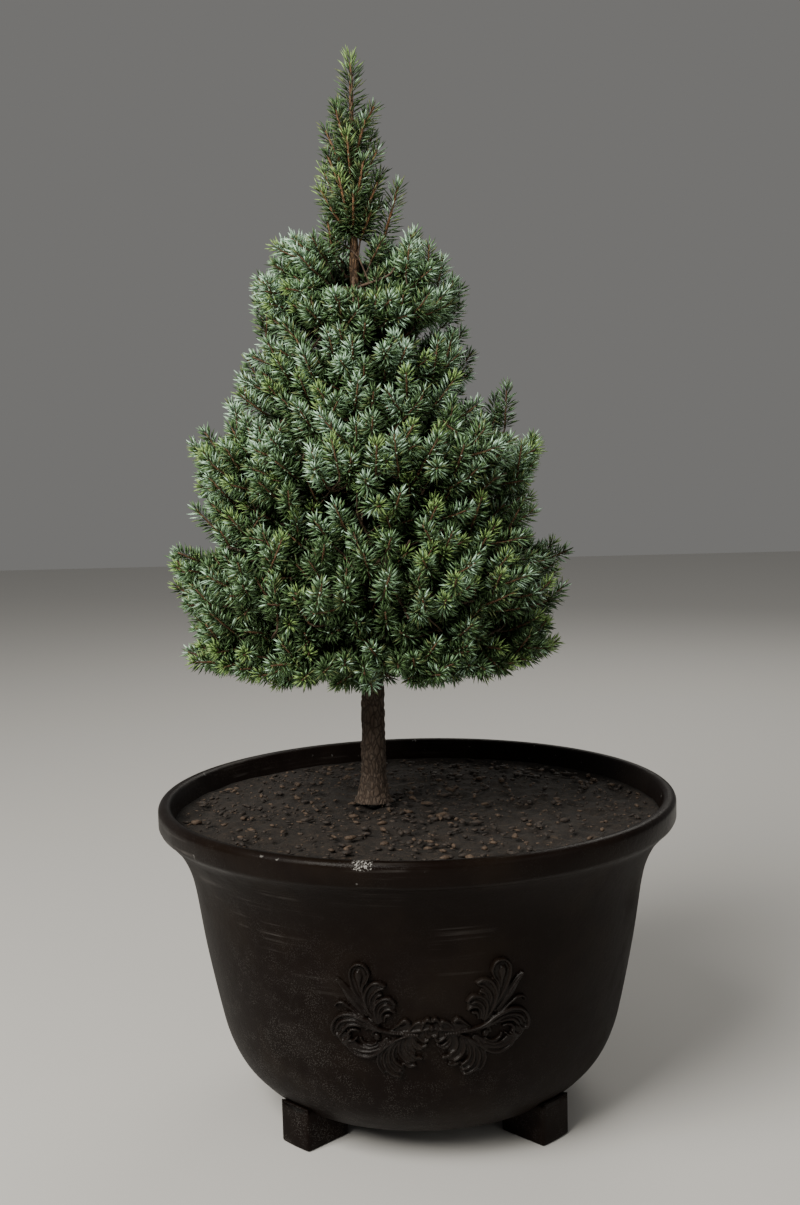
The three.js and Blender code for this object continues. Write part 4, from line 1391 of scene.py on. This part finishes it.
class SPRUCE_OT_relief(Operator):
    """Carve the scrolled leaves on the planter's front"""

    bl_idname = "spruce.relief"
    bl_label = "Planter relief"

    def execute(self, context):
        look = context.scene.planter_look
        work = bmesh.new()
        columns = round(2 * RELIEF_HALF_WIDTH / RELIEF_CELL)
        rows = round(2 * RELIEF_HALF_HEIGHT / RELIEF_CELL)
        bmesh.ops.create_grid(work, x_segments=columns, y_segments=rows, size=1)
        share = self.lay_on_bowl(work, look)
        hidden = [face for face in work.faces if all(share[vert.index] == 0 for vert in face.verts)]
        bmesh.ops.delete(work, geom=hidden, context="FACES")
        inner = [vert for vert in work.verts if not vert.is_boundary]
        bmesh.ops.smooth_vert(
            work, verts=inner, factor=RELIEF_SMOOTHING, use_axis_x=True, use_axis_y=True, use_axis_z=True)
        finish = charcoal_finish(look, "charcoal_relief", RELIEF_ROUGHNESS, RELIEF_SHINE)
        piece = place_piece("relief", plain_mesh(work, "relief"), [finish], [])
        thickness = piece.modifiers.new("thickness", "SOLIDIFY")
        thickness.thickness = RELIEF_THICKNESS
        thickness.offset = -1
        return {"FINISHED"}

    def lay_on_bowl(self, work, look):
        """Bends a flat grid round the bowl's front, raised by the relief, and gives each point's share."""
        work.verts.ensure_lookup_table()
        flat = np.array([vert.co[:2] for vert in work.verts])
        across, up = flat[:, 0] * RELIEF_HALF_WIDTH, flat[:, 1] * RELIEF_HALF_HEIGHT
        share = relief_heights(across / MM / RELIEF_SQUEEZE, up / MM / RELIEF_STRETCH)
        depth = np.where(share > 0, share * look.relief_height, -RELIEF_SINK)
        level = look.relief_level + up
        wall = bowl_radius(level)
        angle = math.radians(-90) + look.relief_turn + across / wall
        reach = wall + depth
        for vert, a, r, z in zip(work.verts, angle, reach, level):
            vert.co = (r * math.cos(a), r * math.sin(a), z)
        return share


class SPRUCE_OT_soil(Operator):
    """Fill the planter with potting soil and strew crumbs on it"""

    bl_idname = "spruce.soil"
    bl_label = "Potting soil"

    def execute(self, context):
        look = context.scene.planter_look
        profile = [(SOIL_RADIUS - back, SOIL_EDGE - down) for back, down in SOIL_UNDERSIDE]
        radii = np.linspace(0, SOIL_RADIUS, SOIL_RINGS)
        profile += [(radius, interpolate(SOIL_LEVELS, radius)) for radius in radii[::-1]]
        work = turned(profile, SOIL_TURNS)
        for vert in work.verts:
            if vert.co.z > SOIL_EDGE - SOIL_SKIN:
                radius = math.hypot(vert.co.x, vert.co.y)
                fade = min(1, (SOIL_RADIUS + SOIL_FADE_END - radius) / SOIL_FADE)
                vert.co.z += self.lump(vert.co) * fade
        place_piece("soil", closed_mesh(work, "soil"), [soil_finish(look)], ["potting_soil"])
        finishes = [
            speckled_finish("dark_crumbs", *CRUMB_COLOURS),
            speckled_finish("bark_chips", *CHIP_COLOURS),
        ]
        place_piece("soil_crumbs", self.crumbs(look.crumbs), finishes, [])
        return {"FINISHED"}

    def lump(self, spot):
        """How far the soil rises above its even surface at a place, in fine and in coarse lumps."""
        fine = noise.turbulence(spot * FINE_LUMP_SCALE, 4, False) * FINE_LUMP_HEIGHT
        coarse = noise.noise(spot * COARSE_LUMP_SCALE) * COARSE_LUMP_HEIGHT
        return fine + coarse - LUMPS_DROP

    def crumbs(self, count):
        """Loose crumbs and chips of bark, each a lumpy pebble of a few faces."""
        work = bmesh.new()
        bmesh.ops.create_icosphere(work, subdivisions=1, radius=1)
        corners = np.array([vert.co for vert in work.verts])
        pattern = np.array([[vert.index for vert in face.verts] for face in work.faces])
        work.free()
        draw = np.random.default_rng(SEED + 1)
        radius = CRUMB_REACH * np.sqrt(draw.uniform(0, 1, count))
        angle = draw.uniform(0, 2 * math.pi, count)
        size = CRUMB_SIZE + CRUMB_EXTRA * draw.uniform(0, 1, count) ** 3
        shape = size[:, None] * np.stack([draw.uniform(*span, count) for span in CRUMB_SHAPES], axis=1)
        turn = draw.uniform(0, 2 * math.pi, count)[:, None]
        lumps = 1 + draw.uniform(-CRUMB_LUMPS, CRUMB_LUMPS, (count, len(corners), 1))
        x, y, z = np.moveaxis(corners[None] * lumps * shape[:, None], -1, 0)
        level = np.array([interpolate(SOIL_LEVELS, r) for r in radius]) - CRUMB_SINK
        points = np.stack([
            x * np.cos(turn) - y * np.sin(turn) + (radius * np.cos(angle))[:, None],
            x * np.sin(turn) + y * np.cos(turn) + (radius * np.sin(angle))[:, None],
            z + level[:, None]], axis=-1)
        faces = (np.arange(count)[:, None, None] * len(corners) + pattern).reshape(-1, 3)
        kinds = (draw.uniform(0, 1, count) < CHIP_SHARE).astype(int)
        return array_mesh("soil_crumbs", points.reshape(-1, 3), faces, np.repeat(kinds, len(pattern)))


def limb_mesh(name, centre, radius, sides, steps, relief):
    """A limb extruded ring by ring along a line, with the bark's relief, closed at both ends."""
    work = bmesh.new()
    bmesh.ops.create_circle(work, segments=sides, radius=1, cap_ends=True)
    circle = [vert.co.copy() for vert in work.verts]
    ring = list(work.verts)
    for step in range(steps + 1):
        t = step / steps
        ahead = (centre(min(1, t + LINE_STEP)) - centre(max(0, t - LINE_STEP))).normalized()
        turn = Vector((0, 0, 1)).rotation_difference(ahead)
        wide = radius(t)
        for vert, spot in zip(ring, circle):
            out = turn @ spot
            place = centre(t) + out * wide
            vert.co = place + out * relief(place, wide)
        if step < steps:
            ring = next_ring(work, ring)
    bmesh.ops.contextual_create(work, geom=ring)
    return closed_mesh(work, name)


def next_ring(work, ring):
    """Extrudes the last ring of a limb and gives the new ring in the same order."""
    edges = [work.edges.get(pair) for pair in zip(ring, ring[1:] + ring[:1])]
    made = bmesh.ops.extrude_edge_only(work, edges=edges)["geom"]
    fresh = {vert for vert in made if isinstance(vert, bmesh.types.BMVert)}
    above = []
    for vert in ring:
        others = [edge.other_vert(vert) for edge in vert.link_edges]
        above.append(next(other for other in others if other in fresh))
    return above


def bark_relief(scale, depth):
    """Scales of bark as a height over places in space, longer than they are wide, flatter on thin wood."""
    def relief(place, wide):
        spot = Vector((place.x, place.y, place.z * BARK_STRETCH)) * scale
        near = noise.voronoi(spot)[0]
        plate = min(1, (near[1] - near[0]) * BARK_PLATE_EDGE)
        rough = BARK_ROUGHNESS * noise.noise(spot * BARK_ROUGHNESS_SCALE)
        return min(depth, wide * BARK_THICKEST) * (plate - BARK_PLATE_MIDDLE + rough)
    return relief


class SPRUCE_OT_trunk(Operator):
    """Grow the tapering trunk from its root flare to the leader's tip"""

    bl_idname = "spruce.trunk"
    bl_label = "Trunk"

    def execute(self, context):
        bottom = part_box("trunk")[0].z

        def height(t):
            return bottom + (TRUNK_TIP - bottom) * t ** TRUNK_CROWDING

        mesh = limb_mesh(
            "stem", lambda t: trunk_centre(height(t)), lambda t: trunk_radius(height(t)), TRUNK_SIDES,
            TRUNK_STEPS, bark_relief(*TRUNK_BARK))
        place_piece("stem", mesh, [bark_finish(context.scene.tree_look)], ["trunk"])
        return {"FINISHED"}


class SPRUCE_OT_boughs(Operator):
    """Grow each bough from the trunk and on as the stem of its mass"""

    bl_idname = "spruce.boughs"
    bl_label = "Boughs"

    def execute(self, context):
        finish = bark_finish(context.scene.tree_look)
        for mass in MASSES[:-1]:
            name = f"limb_{mass.name}"
            mesh = limb_mesh(
                name, lambda t: mass.limb_point(2 * t), lambda t: mass.limb_radius(2 * t), BOUGH_SIDES,
                BOUGH_STEPS, bark_relief(*BOUGH_BARK))
            place_piece(name, mesh, [finish], [f"bough_{mass.name}"])
        return {"FINISHED"}


class SPRUCE_OT_foliage(Operator):
    """Grow the twigs and needles of every mass by the seeded rule"""

    bl_idname = "spruce.foliage"
    bl_label = "Twigs and needles"

    def execute(self, context):
        look = context.scene.tree_look
        crown = Crown()
        self.make_twigs(crown)
        finishes = [needle_finish(kind, colour) for kind, colour in NEEDLE_COLOURS.items()]
        draw = np.random.default_rng(SEED + 2)
        for shoots, masses in self.batches(crown, look):
            name = f"needles_from_{masses[0]}"
            mesh = needles_mesh(name, *needle_rows(shoots, look, draw))
            place_piece(name, mesh, finishes, [f"foliage_{mass}" for mass in masses])
        return {"FINISHED"}

    def make_twigs(self, crown):
        """The twigs, the twiglets and the shoots' own wood, orange on the leader."""
        old = speckled_finish("twig_bark", *OLD_WOOD)
        young = speckled_finish("shoot_bark", *YOUNG_WOOD)
        orange = speckled_finish("leader_bark", *LEADER_WOOD)
        self.place_tubes("twigs", np.array(crown.twigs), *TWIG_TUBE, old)
        self.place_tubes("twiglets", np.array(crown.twiglets), *TWIGLET_TUBE, old)
        roots, aheads, lengths, leading = (
            column(crown.shoots, field) for field in ("root", "ahead", "length", "on_leader"))
        wood = lengths - SHOOT_WOOD_SHORTER
        steps = [np.full(len(wood), along) for along in SHOOT_WOOD_STEPS]
        paths = np.stack([shoot_points(roots, aheads, wood, along) for along in steps], axis=1)
        self.place_tubes("shoots", paths[~leading], *SHOOT_TUBE, young)
        self.place_tubes("leader_shoots", paths[leading], *LEADER_SHOOT_TUBE, orange)

    def place_tubes(self, name, paths, ends, sides, finish):
        """Places tubes along paths in one piece, each as thick as the ends say at its root and its tip."""
        radii = np.tile(np.linspace(*ends, paths.shape[1]), (len(paths), 1))
        mesh = tubes_mesh(name, paths, radii, sides, np.zeros(len(paths)))
        place_piece(name, mesh, [finish], [])

    def batches(self, crown, look):
        """The shoots and names of neighbouring masses, as many as one piece can hold."""
        batch, names, triangles = [], [], 0
        for mass in MASSES:
            shoots = [shoot for shoot in crown.shoots if shoot.mass is mass]
            more = int(needle_counts(shoots, look).sum()) * TRIANGLES_A_NEEDLE
            if triangles and triangles + more > PIECE_TRIANGLES:
                yield batch, names
                batch, names, triangles = [], [], 0
            batch += shoots
            names.append(mass.name)
            triangles += more
        yield batch, names


# The studio: each light's place, its size, the power in the look that it takes and its share of that
LIGHTS = {
    "key_light": ((-1.5, -1.7, 2.3), 1.7, "key_power", 1),
    "fill_light": ((2.0, -1.6, 1.3), 1.8, "fill_power", 0.4),
    "back_light": ((0.8, 2.2, 2.2), 1.6, "fill_power", 1),
}
LIGHTS_AIM = Vector((0, 0, 0.5))
LIGHTS_COLOUR = (1.0, 0.965, 0.89)
SKY_COLOUR = (1.0, 0.985, 0.95, 1)
PALE_FLOOR = (0.62, 0.61, 0.59)
HALF_FLOOR = 6
SENSOR_WIDTH = 36


class SPRUCE_OT_studio(Operator):
    """Set the pale floor, the soft light and the camera"""

    bl_idname = "spruce.studio"
    bl_label = "Studio"

    def execute(self, context):
        look = context.scene.studio_look
        self.make_floor()
        for name, (place, size, power, share) in LIGHTS.items():
            self.make_light(name, place, size, getattr(look, power) * share)
        self.make_sky(look)
        self.make_camera(look)
        return {"FINISHED"}

    def make_floor(self):
        work = bmesh.new()
        bmesh.ops.create_grid(work, x_segments=1, y_segments=1, size=HALF_FLOOR)
        mesh = plain_mesh(work, "floor")
        floor = bpy.data.objects.new("floor", mesh)
        bpy.context.scene.collection.objects.link(floor)
        finish = Finish("pale_floor", 0.8)
        finish.set("Base Color", PALE_FLOOR)
        mesh.materials.append(finish.material)

    def make_light(self, name, place, size, power):
        lamp = bpy.data.lights.new(name, "AREA")
        lamp.size = size
        lamp.energy = power
        lamp.color = LIGHTS_COLOUR
        light = bpy.data.objects.new(name, lamp)
        bpy.context.scene.collection.objects.link(light)
        aim = (LIGHTS_AIM - Vector(place)).to_track_quat("-Z", "Y")
        light.matrix_world = Matrix.Translation(place) @ aim.to_matrix().to_4x4()

    def make_sky(self, look):
        world = bpy.data.worlds.new("studio")
        world.use_nodes = True
        backdrop = world.node_tree.nodes["Background"]
        backdrop.inputs["Color"].default_value = SKY_COLOUR
        backdrop.inputs["Strength"].default_value = look.sky
        bpy.context.scene.world = world

    def make_camera(self, look):
        lens = bpy.data.cameras.new("camera")
        lens.lens = look.lens
        lens.sensor_width = SENSOR_WIDTH
        camera = bpy.data.objects.new("camera", lens)
        bpy.context.scene.collection.objects.link(camera)
        aim = Matrix.Rotation(math.radians(90) - look.pitch, 4, "X") @ Matrix.Rotation(-look.roll, 4, "Z")
        camera.matrix_world = Matrix.Translation(look.camera_place) @ aim
        bpy.context.scene.camera = camera


OPERATORS = (
    SPRUCE_OT_bowl, SPRUCE_OT_feet, SPRUCE_OT_relief, SPRUCE_OT_soil, SPRUCE_OT_trunk, SPRUCE_OT_boughs,
    SPRUCE_OT_foliage, SPRUCE_OT_studio,
)
LOOKS = {"planter_look": PlanterLook, "tree_look": TreeLook, "studio_look": StudioLook}


class SPRUCE_PT_panel(Panel):
    """Lists the tree's sizes, colours and operators"""

    bl_idname = "SPRUCE_PT_panel"
    bl_label = "Potted spruce"
    bl_space_type = "VIEW_3D"
    bl_region_type = "UI"
    bl_category = "Spruce"

    def draw(self, context):
        for name, look in LOOKS.items():
            box = self.layout.box()
            for field in look.__annotations__:
                box.prop(getattr(context.scene, name), field)
        for operator in OPERATORS:
            self.layout.operator(operator.bl_idname)


def register():
    for member in (*LOOKS.values(), *OPERATORS, SPRUCE_PT_panel):
        bpy.utils.register_class(member)
    for name, look in LOOKS.items():
        setattr(bpy.types.Scene, name, PointerProperty(type=look))


def unregister():
    for name in LOOKS:
        delattr(bpy.types.Scene, name)
    for member in (SPRUCE_PT_panel, *OPERATORS, *LOOKS.values()):
        bpy.utils.unregister_class(member)


def main():
    register()
    bpy.ops.spruce.bowl()
    bpy.ops.spruce.feet()
    bpy.ops.spruce.relief()
    bpy.ops.spruce.soil()
    bpy.ops.spruce.trunk()
    bpy.ops.spruce.boughs()
    bpy.ops.spruce.foliage()
    bpy.ops.spruce.studio()


if __name__ == "__main__":
    main()
